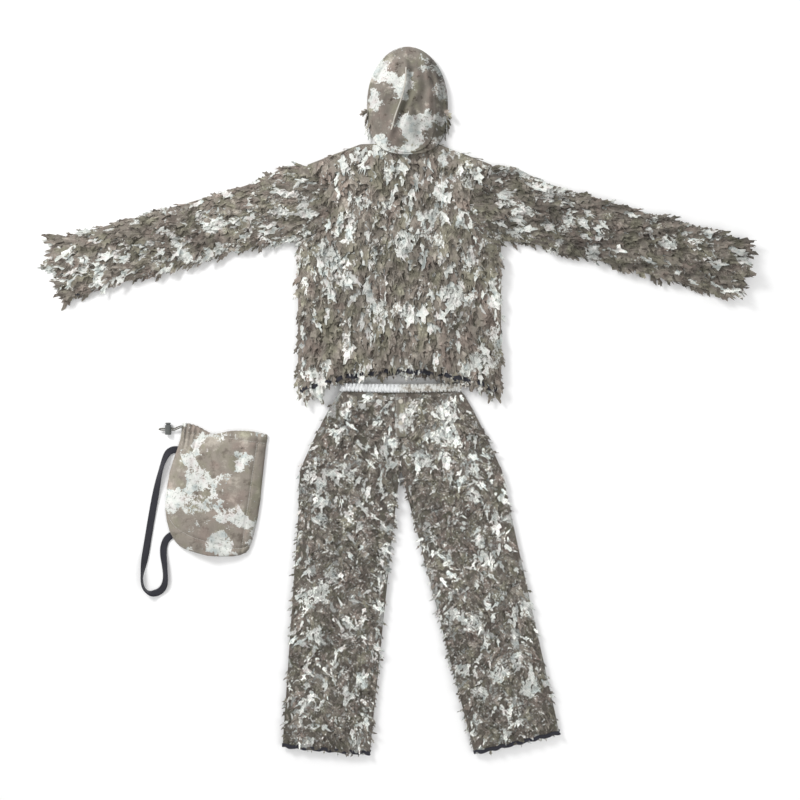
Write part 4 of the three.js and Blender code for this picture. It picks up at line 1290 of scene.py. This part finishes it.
class SUIT_OT_sleeves(bpy.types.Operator):
    """Both sleeves: net cloth tubes with leaf-cut cloth all over"""

    bl_idname = "suit.sleeves"
    bl_label = "Sleeves"

    def execute(self, context):
        sizes = context.scene.suit_sizes
        leaves = leaf_set("sleeve_leaf", 3, 5, 12, 0.8)
        for word, side in SIDES.items():
            start, away, across = sleeve_axis(side)
            head = [(-SLEEVE_HEAD * math.cos(a), SLEEVE_HEAD * math.sin(a) + 0.002)
                    for a in (0.12, 0.35, 0.6, 0.85, 1.1)]
            profile = head + [(0.0, SLEEVE_HEAD * 0.98), (0.09, SLEEVE_HALF + 0.004), (0.2, SLEEVE_HALF),
                              (SLEEVE_LENGTH, SLEEVE_END)]
            rings = limb_rings(
                start, away, across, profile, 0.004, 0.026, sizes.fold_height * 1.1, 4.0 + side)
            cloth = cloth_tube(f"{word}_sleeve_cloth", mouth(rings, 0.94, 0.05), "under net")
            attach(cloth, f"{word}_sleeve")
            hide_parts(f"{word}_sleeve_tube")

            def up(x, y, z, away=away):
                return tuple(-away + Vector((0, 0.25, 0)))

            def grow(x, y, z, start=start, away=away, across=across):
                place = Vector((x, y, 0)) - start
                tip = clamp((place.dot(away) - 0.55) / 0.08)
                inside = SLEEVE_HALF - abs(place.dot(across))
                return (1.0 + 0.3 * tip) * (0.55 + 0.45 * clamp(inside / 0.025))

            def kept(centre, normal, start=start, away=away):
                along = (Vector((centre.x, centre.y, 0)) - start).dot(away)
                return along < SLEEVE_LENGTH - 0.004 and abs(normal.z) > 0.5

            name = f"{word}_sleeve_leaf_cloth"
            item = sew_leaves(name, cloth, kept, up, grow, f"{word} sleeve leaves", leaves, {
                "Spacing": sizes.torso_spacing * 0.9, "Density": 9000.0, "Smallest": sizes.sleeve_leaf * 0.7,
                "Largest": sizes.sleeve_leaf * 1.3, "Seed": 40 + side + sizes.seed,
                **turn_range(2, 12, 14, 38)})
            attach(item, f"{word}_sleeve")
            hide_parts(f"{word}_sleeve_back_leaves", f"{word}_sleeve_front_leaves")
        clear_leaf_set(leaves)
        return {"FINISHED"}


# ---------------------------------------------------------------- trousers


def leg_axis(word):
    """Hip point, direction down the leg and direction across it."""
    start = joint_point(f"{word}_leg_swing")
    start.z = 0.0
    splay = LEG_SPLAY[word]
    side = SIDES[word]
    away = Vector((side * math.sin(splay), -math.cos(splay), 0.0))
    return start, away, Vector((-away.y, away.x, 0.0))


def leg_half(along, hip_half):
    """Half the width of a leg at a distance down from the hip."""
    halves = [hip_half, LEG_HALF + 0.002, LEG_HALF, LEG_END]
    return float(np.interp(along, [0, 0.12, 0.2, LEG_LENGTH], halves))


def trouser_rings(word, low, high, fold):
    """Rings of one half of the trousers, from the waist over the hip to the ankle."""
    side = SIDES[word]
    start, away, across = leg_axis(word)
    waist_half = (WAIST[1].x - WAIST[0].x) / 4
    hip_half = abs(start.x - SEAT_MIDDLE) - 0.001
    waist_y = WAIST[0].y + 0.004
    stations = []
    rows = 26
    for row in range(rows):
        share = row / rows
        y = waist_y + (start.y - waist_y) * share
        out = 2 * waist_half + (2 * hip_half - 2 * waist_half) * share ** 0.85
        half = out / 2
        x = SEAT_MIDDLE + side * (half + 0.0008)
        stations.append((x, y, -1.0, 0.0, half, low, high))
    rows = 70
    for row in range(rows):
        share = row / (rows - 1)
        distance = LEG_LENGTH * share
        turned = min(1.0, share / 0.16)
        lean = across if across.x < 0 else -across
        level = Vector((-1.0, 0.0, 0.0)).lerp(lean, turned).normalized()
        half = leg_half(distance, hip_half)
        middle = start + away * distance
        stations.append((middle.x, middle.y, level.x, level.y, half, low, high))
    return tube_rings(stations, 64, 6.0 + side, fold)


def trouser_room(word, x, y):
    """How far a point lies inside the outline of one trouser half, and how far above its ankle band."""
    start, away, across = leg_axis(word)
    hip_half = abs(start.x - SEAT_MIDDLE) - 0.001
    if y > start.y:
        share = (WAIST[0].y + 0.004 - y) / (WAIST[0].y + 0.004 - start.y)
        waist_half = (WAIST[1].x - WAIST[0].x) / 2
        out = waist_half + (2 * hip_half - waist_half) * max(0.0, share) ** 0.85
        return out - abs(x - SEAT_MIDDLE), LEG_LENGTH
    place = Vector((x, y, 0.0)) - start
    along = place.dot(away)
    half = leg_half(along, hip_half)
    return half - abs(place.dot(across)), LEG_LENGTH - along


class SUIT_OT_trousers(bpy.types.Operator):
    """Both halves of the trousers: net cloth with finer leaf-cut cloth all over"""

    bl_idname = "suit.trousers"
    bl_label = "Trousers"

    def execute(self, context):
        sizes = context.scene.suit_sizes
        leaves = leaf_set("trouser_leaf", 2, 5, 12, 0.75)
        for word, side in SIDES.items():
            start = leg_axis(word)[0]
            rings = trouser_rings(word, 0.004, 0.022, sizes.fold_height)
            cloth = cloth_tube(f"{word}_trouser_cloth", mouth(rings, 0.96, 0.05), "trouser net")
            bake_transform(cloth)
            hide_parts(f"seat_back_{word}", f"seat_front_{word}", f"{word}_leg_tube")
            layers = (
                ("front", lambda c, n: n.z > 0.55 and self.leafy(c), 1.0,
                 [f"seat_front_leaves_{word}", f"{word}_leg_front_leaves"]),
                ("back", lambda c, n: n.z < -0.55 and self.leafy(c), 1.5,
                 [f"{word}_leg_back_leaves", *(["seat_back_leaves"] if side < 0 else [])]),
            )
            for layer, kept, wider, nodes in layers:
                item = sew_leaves(
                    f"{word}_trouser_{layer}_leaf_cloth", cloth, kept, lambda x, y, z: (0.0, 1.0, 0.0),
                    lambda x, y, z, word=word: self.leaf_size(word, x, y), "trouser leaves", leaves, {
                        "Spacing": sizes.trouser_spacing * wider, "Density": 16000.0,
                        "Smallest": sizes.trouser_leaf * 0.6, "Largest": sizes.trouser_leaf * 1.3,
                        "Seed": 60 + side + sizes.seed + len(layer), **turn_range(-3, 6, 8, 75)})
                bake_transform(item)
                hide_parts(*nodes)
        clear_leaf_set(leaves)
        return {"FINISHED"}


    def leaf_size(self, word, x, y):
        """Leaves are smaller at the outline and above the ankle band."""
        side, above = trouser_room(word, x, y)
        return (0.4 + 0.6 * clamp(side / 0.03)) * (0.35 + 0.65 * clamp(above / 0.05))

    def leafy(self, centre):
        """Leaves stay clear of the waistband and of the fly's seam."""
        fly = abs(centre.x - FLY_X) < 0.006 and centre.y > FLY_END and centre.z > 0.01
        word = "left" if centre.x < SEAT_MIDDLE else "right"
        return centre.y < WAIST[0].y - 0.002 and not fly and trouser_room(word, centre.x, centre.y)[1] > 0.018


# ---------------------------------------------------------------- waistband and fly


class SUIT_OT_waist(bpy.types.Operator):
    """Gathered waistband with its stitch rows, and the fly with its buttons"""

    bl_idname = "suit.waist"
    bl_label = "Waistband and fly"

    def execute(self, context):
        low, high = WAIST
        middle = (low + high) / 2
        half = (high.x - low.x) / 2
        line = oval((middle.x, middle.y, 0.0), (1, 0, 0), half - 0.001, low.z + 0.001, high.z, 300, 0.4)
        for point in line:
            point.y += self.sag(point.x - middle.x, half)
        rows = 3
        section = []
        for row in range(rows):
            at = -0.5 + row / rows
            section += [(at + 0.03, 0.3), (at + 0.17, 0.62)]
        section.append((0.5, 0.3))
        section = [(u, -0.5) for u in (0.5, 0.25, 0.0, -0.25, -0.5)] + section
        elastic_loop("waistband_cloth", line, high.y - low.y, 0.003, "trousers", ["waistband_casing"],
                     "waist cloth",
                     "pale_elastic", 0.0007, 0.0065, (0, 1, 0), section)
        for row in range(1, rows):
            line = []
            for step in range(120):
                x = middle.x + (half - 0.012) * (2 * step / 119 - 1)
                y = middle.y + self.sag(x - middle.x, half) + (row / rows - 0.5) * (high.y - low.y)
                line.append((x, y, high.z + 0.0013))
            row_of(f"waistband_stitches_{row}", line, 0.005, (0.0034, 0.0007, 0.0006), "pale thread",
                   "trousers",
                   "pale_elastic")
        cover("waist_elastic", "pale elastic")
        low, high = span("fly_placket")
        middle = (low + high) / 2
        steps = 24
        line = [Vector((middle.x + 0.0012 * math.sin(step * 0.9),
                        low.y + (high.y - low.y) * step / (steps - 1),
                        middle.z + 0.0004 * math.sin(step * 1.7))) for step in range(steps)]
        wides = [Vector((1, 0, 0))] * steps
        placket = band("fly_placket_cloth", line, wides, high.x - low.x, high.z - low.z, "veil cloth")
        belongs(placket, "trousers", "base_cloth", "fly_placket")
        for number, offset in enumerate((-0.012, 0.012)):
            row = [(p.x + offset, p.y, high.z + 0.0002) for p in line[1:-1]]
            row_of(f"fly_stitches_{number + 1}", row, 0.0045, (0.0034, 0.0008, 0.0006), "pale thread",
                   "trousers",
                   "pale_elastic")
        cover("fly_button_1", "button plastic")
        cover("fly_button_2", "button plastic")
        return {"FINISHED"}

    def sag(self, x, half):
        """The waistband hangs a little lower at its middle."""
        return -0.0035 * (1 - (x / half) ** 2) + 0.0015


# ---------------------------------------------------------------- zip


class SUIT_OT_zip(bpy.types.Operator):
    """Zip tapes, teeth, slider, pull and stops"""

    bl_idname = "suit.zip"
    bl_label = "Zip"

    def execute(self, context):
        for word, side in SIDES.items():
            low, high = span(f"zip_tape_{word}")
            middle = (low + high) / 2
            steps = 60
            line = [Vector((middle.x, low.y + (high.y - low.y) * step / (steps - 1),
                            middle.z - 0.0004 + 0.0003 * math.sin(step * 0.8))) for step in range(steps)]
            tape = band(f"zip_tape_cloth_{word}", line, [Vector((1, 0, 0))] * steps,
                        high.x - low.x - 0.0006, 0.0014,
                        "zip tape")
            belongs(tape, "jacket", "zip_tape", f"zip_tape_{word}")
            inner = high.x if side < 0 else low.x
            stagger = 0.0008 if side > 0 else 0.0
            teeth = [(inner + side * 0.0012, p.y + stagger, p.z + 0.0012) for p in line[1:-1]]
            row_of(f"zip_teeth_{word}", teeth, 0.0022, (0.0014, 0.0034, 0.0016), "zip metal",
                   "jacket", "zip_metal")
        for node in ("zip_top_stop_left", "zip_top_stop_right", "zip_bottom_stop", "zip_slider", "zip_pull"):
            cover(node, "zip metal")
        return {"FINISHED"}


# ---------------------------------------------------------------- hood and veil


def egg(angle):
    """Point of the hood's outline at an angle: round above and squarer at the chin."""
    c, s = math.cos(angle), math.sin(angle)
    power = 2.0 if s > 0 else 2.7
    reach = (abs(c) ** power + abs(s) ** power) ** (-1 / power)
    return HOOD_X + HOOD_HALF * c * reach, HOOD_Y + (HOOD_UP if s > 0 else HOOD_DOWN) * s * reach


def hood_share(x, y):
    """How far a point lies from the hood's middle towards its outline, from 0 to 1."""
    u, v = (x - HOOD_X) / HOOD_HALF, (y - HOOD_Y) / (HOOD_UP if y > HOOD_Y else HOOD_DOWN)
    power = 2.0 if v > 0 else 2.7
    return min(1.0, (abs(u) ** power + abs(v) ** power) ** (1 / power))


def ridge(x, y, route, width):
    """From 0 to 1: how near a point is to a bent line."""
    nearest = 9.0
    for (ax, ay), (bx, by) in zip(route, route[1:]):
        dx, dy = bx - ax, by - ay
        t = clamp(((x - ax) * dx + (y - ay) * dy) / (dx * dx + dy * dy))
        nearest = min(nearest, math.hypot(x - ax - t * dx, y - ay - t * dy))
    return math.exp(-(nearest / width) ** 2)


HOOD_SEAM = [(0.014, 0.962), (0.016, 0.905), (0.014, 0.862), (0.002, 0.815), (-0.012, 0.776), (-0.024, 0.735),
             (-0.04, 0.7)]
HOOD_RIDGES = [
    (HOOD_SEAM, 0.01, 1.0),
    ([(0.116, 0.93), (0.122, 0.86), (0.12, 0.79), (0.108, 0.72)], 0.009, -1.3),
    ([(0.05, 0.96), (0.074, 0.905), (0.082, 0.85), (0.08, 0.79)], 0.01, 0.95),
    ([(0.036, 0.9), (0.03, 0.84), (0.014, 0.79), (0.0, 0.755)], 0.009, -1.0),
    ([(-0.085, 0.8), (-0.05, 0.755), (-0.02, 0.72), (0.03, 0.7)], 0.01, 1.0),
    ([(-0.075, 0.765), (-0.035, 0.722), (0.02, 0.694)], 0.008, -0.9),
    ([(-0.075, 0.87), (-0.045, 0.915), (-0.012, 0.945)], 0.01, -0.9),
    ([(-0.085, 0.835), (-0.045, 0.85), (0.0, 0.835)], 0.009, 0.8),
    ([(0.04, 0.8), (0.056, 0.765), (0.052, 0.72)], 0.01, -0.9),
    ([(0.085, 0.93), (0.1, 0.88), (0.104, 0.83)], 0.007, 0.7),
]


def neck_rest(y):
    """Height of the jacket's neck, which the lower end of the hood lies on."""
    return 0.046 * clamp((0.73 - y) / 0.055)


def hood_height(x, y, depth):
    """Upper side of the hood with its folds."""
    share = hood_share(x, y)
    rest = neck_rest(y)
    dome = rest + 0.007 + (0.051 - rest) * (1 - share ** 2.6) ** 0.55
    fold = sum(weight * ridge(x, y, route, width) for route, width, weight in HOOD_RIDGES)
    loose = noise.noise((x * 21, y * 14, 3.0)) + 0.6 * noise.noise((x * 44, y * 33, 8.0))
    fade = min(1.0, (1 - share) / 0.16)
    return dome + depth * (0.7 * fold + 0.8 * loose) * fade


class SUIT_OT_hood(bpy.types.Operator):
    """Folded hood with its face opening, bound edge and seam"""

    bl_idname = "suit.hood"
    bl_label = "Hood"

    def execute(self, context):
        depth = context.scene.suit_sizes.hood_fold
        around, front, back = 120, 30, 14
        opening = span("face_opening_binding")
        rim_x, rim_y = (opening[0].x + opening[1].x) / 2, (opening[0].y + opening[1].y) / 2
        rim_a, rim_b = (opening[1].x - opening[0].x) / 2, (opening[1].y - opening[0].y) / 2
        points = []
        for row in range(front + 1):
            share = row / front
            for step in range(around):
                angle = 2 * math.pi * step / around
                rx, ry = rim_x + rim_a * math.cos(angle), rim_y + rim_b * math.sin(angle)
                ex, ey = egg(angle)
                x, y = rx + (ex - rx) * share, ry + (ey - ry) * share
                points.append((x, y, max(0.006, hood_height(x, y, depth))))
        for row in range(1, back + 1):
            share = row / back
            for step in range(around):
                ex, ey = egg(2 * math.pi * step / around)
                inward = min(1.0, share * 1.02)
                left_over = 1 - inward * 0.97
                x, y = HOOD_X + (ex - HOOD_X) * left_over, HOOD_Y + (ey - HOOD_Y) * left_over
                points.append((x, y, 0.0035 * (1 - share) ** 2 + 0.0016 + neck_rest(y)))
        faces = ring_faces(front + back + 1, around, capped=False)
        last = (front + back) * around
        points.append((HOOD_X, HOOD_Y, 0.0016))
        faces += [(len(points) - 1, last + j, last + (j + 1) % around) for j in range(around)]
        hood = piece("hood_cloth", points, faces, "hood cloth")
        self.open_neck(hood)
        thick = hood.modifiers.new("cloth", "SOLIDIFY")
        thick.thickness = 0.0011
        thick.offset = -1.0
        freeze(hood)
        # Painted light and shade on the hood's folds.
        paint_fold_shading(hood, lambda x, y: hood_height(x, y, depth), 0.5)
        belongs(hood, "hood", "hood_cloth", "hood_shell_left", "hood_shell_right")
        line, wides = [], []
        for step in range(120):
            angle = 2 * math.pi * step / 120
            x, y = rim_x + rim_a * math.cos(angle), rim_y + rim_b * math.sin(angle)
            line.append(Vector((x, y, hood_height(x, y, depth) - 0.0005)))
            wides.append(Vector((math.cos(angle), math.sin(angle), 0.12)).normalized())
        edge = band("face_opening_edge", line, wides, 0.009, 0.0026, "dark elastic", closed=True)
        belongs(edge, "hood", "dark_elastic", "face_opening_binding")
        low, high = span("neck_binding")
        middle, half = (low.x + high.x) / 2, (high.x - low.x) / 2
        line = []
        for step in range(40):
            u = 2 * step / 39 - 1
            line.append(Vector((middle + half * u, low.y + 0.024 + (high.y - low.y - 0.028) * u * u,
                                high.z - 0.006 - (high.z - low.z - 0.008) * u * u)))
        neck = band("neck_edge", line, [Vector((0, 0.8, 0.6))] * 40, 0.01, 0.0024, "dark elastic")
        belongs(neck, "jacket", "dark_elastic", "neck_binding")
        return {"FINISHED"}

    def open_neck(self, hood):
        """Cuts the neck opening, which leans from the back up to the chin."""
        work = bmesh.new()
        work.from_mesh(hood.data)
        bmesh.ops.recalc_face_normals(work, faces=work.faces)
        cut = [face for face in work.faces
               if face.normal.z < -0.3 and face.calc_center_median().y < 0.715
               and hood_share(face.calc_center_median().x, face.calc_center_median().y) < 0.93]
        bmesh.ops.delete(work, geom=cut, context="FACES")
        work.to_mesh(hood.data)
        work.free()


def freeze(item):
    """Applies every modifier of an object."""
    bpy.context.view_layer.update()
    graph = bpy.context.evaluated_depsgraph_get()
    data = bpy.data.meshes.new_from_object(item.evaluated_get(graph), depsgraph=graph)
    item.modifiers.clear()
    item.data = data


class SUIT_OT_veil(bpy.types.Operator):
    """Thin face veil draped over the hood's opening, with a sewn seam"""

    bl_idname = "suit.veil"
    bl_label = "Face veil"

    def execute(self, context):
        depth = context.scene.suit_sizes.hood_fold
        low, high = span("face_veil")
        middle = (low + high) / 2
        half_x, half_y = (high.x - low.x) / 2, (high.y - low.y) / 2
        around, rings = 120, 34
        points = []
        for row in range(1, rings + 1):
            share = row / rings
            for step in range(around):
                angle = 2 * math.pi * step / around
                c, s = math.cos(angle), math.sin(angle)
                power = 2.6
                reach = share * (abs(c) ** power + abs(s) ** power) ** (-1 / power)
                x, y = middle.x + half_x * c * reach, middle.y + half_y * s * reach
                lift = 0.0028 + 0.0034 * (1 - share ** 6)
                points.append((x, y, hood_height(x, y, depth) + lift))
        centre = (middle.x, middle.y, hood_height(middle.x, middle.y, depth) + 0.0062)
        faces = ring_faces(rings, around, capped=False)
        points.append(centre)
        faces += [(len(points) - 1, (j + 1) % around, j) for j in range(around)]
        veil = piece("face_veil_cloth", points, faces, "veil cloth")
        work = bmesh.new()
        work.from_mesh(veil.data)
        bmesh.ops.recalc_face_normals(work, faces=work.faces)
        if sum(face.normal.z for face in work.faces) < 0:
            bmesh.ops.reverse_faces(work, faces=work.faces)
        work.to_mesh(veil.data)
        work.free()
        thick = veil.modifiers.new("cloth", "SOLIDIFY")
        thick.thickness = 0.0009
        thick.offset = -1.0
        freeze(veil)
        # Painted light and shade on the veil's folds.
        paint_fold_shading(veil, lambda x, y: hood_height(x, y, depth), 0.5)
        belongs(veil, "hood", "veil_cloth", "face_veil")
        seam = smooth_line([(x, y, 0.0) for x, y in HOOD_SEAM[1:-1]], 10)
        line = [(p.x, p.y, hood_height(p.x, p.y, depth) + 0.0066) for p in seam]
        stitches = row_of("face_veil_seam", line, 0.0032, (0.0027, 0.0011, 0.0009), "pale thread",
                          "hood", "veil_cloth")
        tape = [Vector((p.x, p.y, hood_height(p.x, p.y, depth) + 0.0058)) for p in seam]
        sideways = [Vector((1.0, 0.2, 0.0)).normalized()] * len(tape)
        piping = band("face_veil_piping", tape, sideways, 0.0042, 0.0016,
                      "piping")
        belongs(piping, "hood", "veil_cloth")
        return {"FINISHED"}


class SUIT_OT_hood_leaves(bpy.types.Operator):
    """Leaf fringes on both sides of the hood"""

    bl_idname = "suit.hood_leaves"
    bl_label = "Hood fringe"

    def execute(self, context):
        sizes = context.scene.suit_sizes
        hood = bpy.data.objects["hood_cloth"]
        leaves = leaf_set("fringe_leaf", 3, 5, 6, 0.9)
        for word, side in SIDES.items():
            low, high = span(f"hood_leaf_fringe_{word}")

            def kept(centre, normal, side=side, low=low, high=high):
                beside = side * (centre.x - HOOD_X) > HOOD_HALF * 0.9
                return beside and low.y + 0.012 < centre.y < high.y and centre.z < 0.026

            def up(x, y, z, side=side):
                return (-side * 0.6, 1.0, 0.0)

            name = f"hood_fringe_cloth_{word}"
            item = sew_leaves(name, hood, kept, up, lambda x, y, z: 1.0, "torso leaves", leaves, {
                "Spacing": 0.009, "Density": 6000.0, "Smallest": 0.02, "Largest": 0.036,
                "Seed": 80 + side + sizes.seed, **turn_range(4, 22, 20, 40)})
            belongs(item, "hood", "leafy_cloth", f"hood_leaf_fringe_{word}")
        clear_leaf_set(leaves)
        return {"FINISHED"}


# ---------------------------------------------------------------- carry bag

BAG_ORIGIN = Vector((-0.485, -0.103, 0.0))


def bag_point(u, v, z=0.0):
    """A point of the bag from its own across and along, with the bag's lean."""
    c, s = math.cos(BAG_LEAN), math.sin(BAG_LEAN)
    return BAG_ORIGIN + Vector((u * c - v * s, u * s + v * c, z))


BAG_SIDE_SEAM = 0.092
BAG_FOLDS = [
    ([(-0.1, -0.04), (-0.085, -0.1), (-0.06, -0.16)], 0.013, 0.0035),
    ([(-0.1, -0.2), (-0.05, -0.235), (0.01, -0.26)], 0.012, 0.0035),
    ([(0.06, -0.02), (0.045, -0.08), (0.05, -0.14)], 0.011, -0.003),
    ([(-0.02, -0.01), (-0.015, -0.05), (0.0, -0.09)], 0.009, 0.003),
    ([(0.08, -0.17), (0.03, -0.2), (-0.02, -0.205)], 0.012, -0.003),
]

# The bag's outline: distance above its mouth seam, left edge and right edge.
BAG_OUTLINE = [
    (-0.329, -0.004, 0.012), (-0.3275, -0.034, 0.045), (-0.3235, -0.062, 0.07), (-0.317, -0.08, 0.09),
    (-0.308, -0.092, 0.104), (-0.298, -0.102, 0.11), (-0.279, -0.115, 0.115), (-0.251, -0.127, 0.1185),
    (-0.222, -0.135, 0.121), (-0.19, -0.1385, 0.122), (-0.155, -0.139, 0.122), (-0.119, -0.138, 0.12),
    (-0.085, -0.133, 0.119), (-0.05, -0.126, 0.1175), (-0.02, -0.1215, 0.1165), (0.0, -0.122, 0.116),
    (0.01, -0.1235, 0.117), (0.0225, -0.121, 0.1155),
]
BASE_SEAM = [
    (-0.122, -0.238), (-0.1, -0.262), (-0.06, -0.28), (-0.01, -0.291), (0.05, -0.299), (0.09, -0.297),
    (0.108, -0.288),
]


def bag_edges(v):
    """Left and right edge of the bag at a distance above its mouth seam."""
    places = [row[0] for row in BAG_OUTLINE]
    return [float(np.interp(v, places, [row[column] for row in BAG_OUTLINE])) for column in (1, 2)]


class SUIT_OT_bag(bpy.types.Operator):
    """Soft carry bag with its gathered mouth, seams and stitches"""

    bl_idname = "suit.bag"
    bl_label = "Carry bag"

    def execute(self, context):
        rows, around = 96, 120
        top, bottom = BAG_OUTLINE[-1][0], BAG_OUTLINE[0][0]
        rings = []
        for row in range(rows):
            v = top + (bottom - top) * math.sin(math.pi / 2 * row / (rows - 1))
            left, right = bag_edges(v)
            ring = []
            for step in range(around):
                angle = 2 * math.pi * step / around
                c, s = math.cos(angle), math.sin(angle)
                u = (left + right) / 2 + (right - left) / 2 * c
                low, high = 0.0008, self.upper(u, v)
                middle, thick = (low + high) / 2, (high - low) / 2
                z = middle + thick * math.copysign(abs(s) ** 0.55, s)
                z = max(0.0008, z)
                ring.append(tuple(bag_point(u, v + self.lip(u, v), z)))
            rings.append(ring)
        rings = np.array(rings)[::-1]
        cloth = cloth_tube("bag_cloth", mouth(rings, 0.965, 0.05), "bag cloth")
        c, s = math.cos(BAG_LEAN), math.sin(BAG_LEAN)

        def height(x, y):
            dx, dy = x - BAG_ORIGIN.x, y - BAG_ORIGIN.y
            return self.upper(dx * c + dy * s, max(bottom, min(top, dy * c - dx * s)))

        # Painted light and shade on the bag's folds.
        paint_fold_shading(cloth, height, 0.45)
        belongs(cloth, "bag", "bag_cloth",
                "bag_front_panel", "bag_back_panel", "bag_base_panel", "mouth_casing")
        self.seam("bag_mouth_stitches", [(u, -0.0005) for u in np.linspace(-0.112, 0.112, 90)])
        self.seam("bag_side_stitches", [(BAG_SIDE_SEAM, v) for v in np.linspace(-0.004, -0.285, 80)])
        base_line = smooth_line([(u, v, 0.0) for u, v in BASE_SEAM], 12)
        self.seam("bag_base_stitches", [tuple(p.xy) for p in base_line])
        return {"FINISHED"}

    def lip(self, u, v):
        """The mouth's edge sags in its middle and rises at its right end."""
        share = clamp((v + 0.03) / 0.05)
        sag = -0.018 * math.exp(-((u + 0.035) / 0.038) ** 2) + 0.004 * math.exp(-((u - 0.075) / 0.035) ** 2)
        gather = 0.0015 * math.sin(u * 520) * (1.0 if u < -0.06 else 0.25)
        return share * (sag + gather)

    def upper(self, u, v):
        """Height of the upper side: soft, with seam channels, gathers under the mouth and loose folds."""
        left, right = bag_edges(v)
        edge = min(1.0, abs(2 * u - left - right) / (right - left))
        along = (v + BAG_LENGTH) / (BAG_LENGTH + 0.02)
        height = 0.009 + 0.02 * (1 - edge ** 4) ** 0.5 * (1 - abs(2 * along - 0.9) ** 6 * 0.35)
        loose = noise.noise((u * 11 + 2, v * 7, 4.0)) * 0.006 + noise.noise((u * 30, v * 19, 1.0)) * 0.0034
        gather = u < -0.07
        near_mouth = clamp(1 - abs(v) / 0.07)
        pleats = math.sin(u * (420 if gather else 130) + 3 * noise.noise((u * 30, v * 20, 2.0)))
        depth = (0.0036 if gather else 0.0014) * near_mouth
        hump = 0.006 * math.exp(-((u - 0.078) / 0.03) ** 2) * clamp(1 - abs(v - 0.008) / 0.04)
        dip = -0.006 * math.exp(-((u + 0.03) / 0.03) ** 2) * clamp(1 - abs(v - 0.012) / 0.05)
        folds_there = sum(weight * ridge(u, v, route, width) for route, width, weight in BAG_FOLDS)
        channels = 0.0045 * math.exp(-(v / 0.005) ** 2) + 0.0028 * ridge(u, v, BASE_SEAM, 0.0045)
        channels += 0.0022 * math.exp(-((u - BAG_SIDE_SEAM) / 0.0035) ** 2)
        shape = height + (loose + folds_there) * (1 - edge ** 6) + pleats * depth + hump + dip
        return max(0.004, shape - channels)

    def seam(self, name, route):
        line = [bag_point(u, v, self.upper(u, v) + 0.0003) for u, v in route]
        row_of(name, line, 0.0046, (0.0036, 0.0008, 0.0007), "pale thread", "bag", "bag_cloth")


# ---------------------------------------------------------------- panel and start

STEPS = [
    SUIT_OT_stage, SUIT_OT_cords, SUIT_OT_jacket_cloth, SUIT_OT_jacket_leaves, SUIT_OT_zip, SUIT_OT_sleeves,
    SUIT_OT_hood, SUIT_OT_veil, SUIT_OT_hood_leaves, SUIT_OT_trousers, SUIT_OT_waist, SUIT_OT_bands,
    SUIT_OT_bag,
]


class SUIT_PT_panel(bpy.types.Panel):
    bl_idname = "SUIT_PT_panel"
    bl_label = "Leafy suit"
    bl_space_type = "VIEW_3D"
    bl_region_type = "UI"
    bl_category = "Suit"

    def draw(self, context):
        for step in STEPS:
            self.layout.operator(step.bl_idname)
        for group in (context.scene.suit_sizes, context.scene.suit_colours):
            for name in group.__annotations__:
                self.layout.prop(group, name)


CLASSES = [SuitSizes, SuitColours, *STEPS, SUIT_PT_panel]


def register():
    for item in CLASSES:
        bpy.utils.register_class(item)
    bpy.types.Scene.suit_sizes = bpy.props.PointerProperty(type=SuitSizes)
    bpy.types.Scene.suit_colours = bpy.props.PointerProperty(type=SuitColours)


def unregister():
    del bpy.types.Scene.suit_colours
    del bpy.types.Scene.suit_sizes
    for item in reversed(CLASSES):
        bpy.utils.unregister_class(item)


def main():
    register()
    for step in STEPS:
        group, call = step.bl_idname.split(".")
        getattr(getattr(bpy.ops, group), call)()


if __name__ == "__main__":
    main()
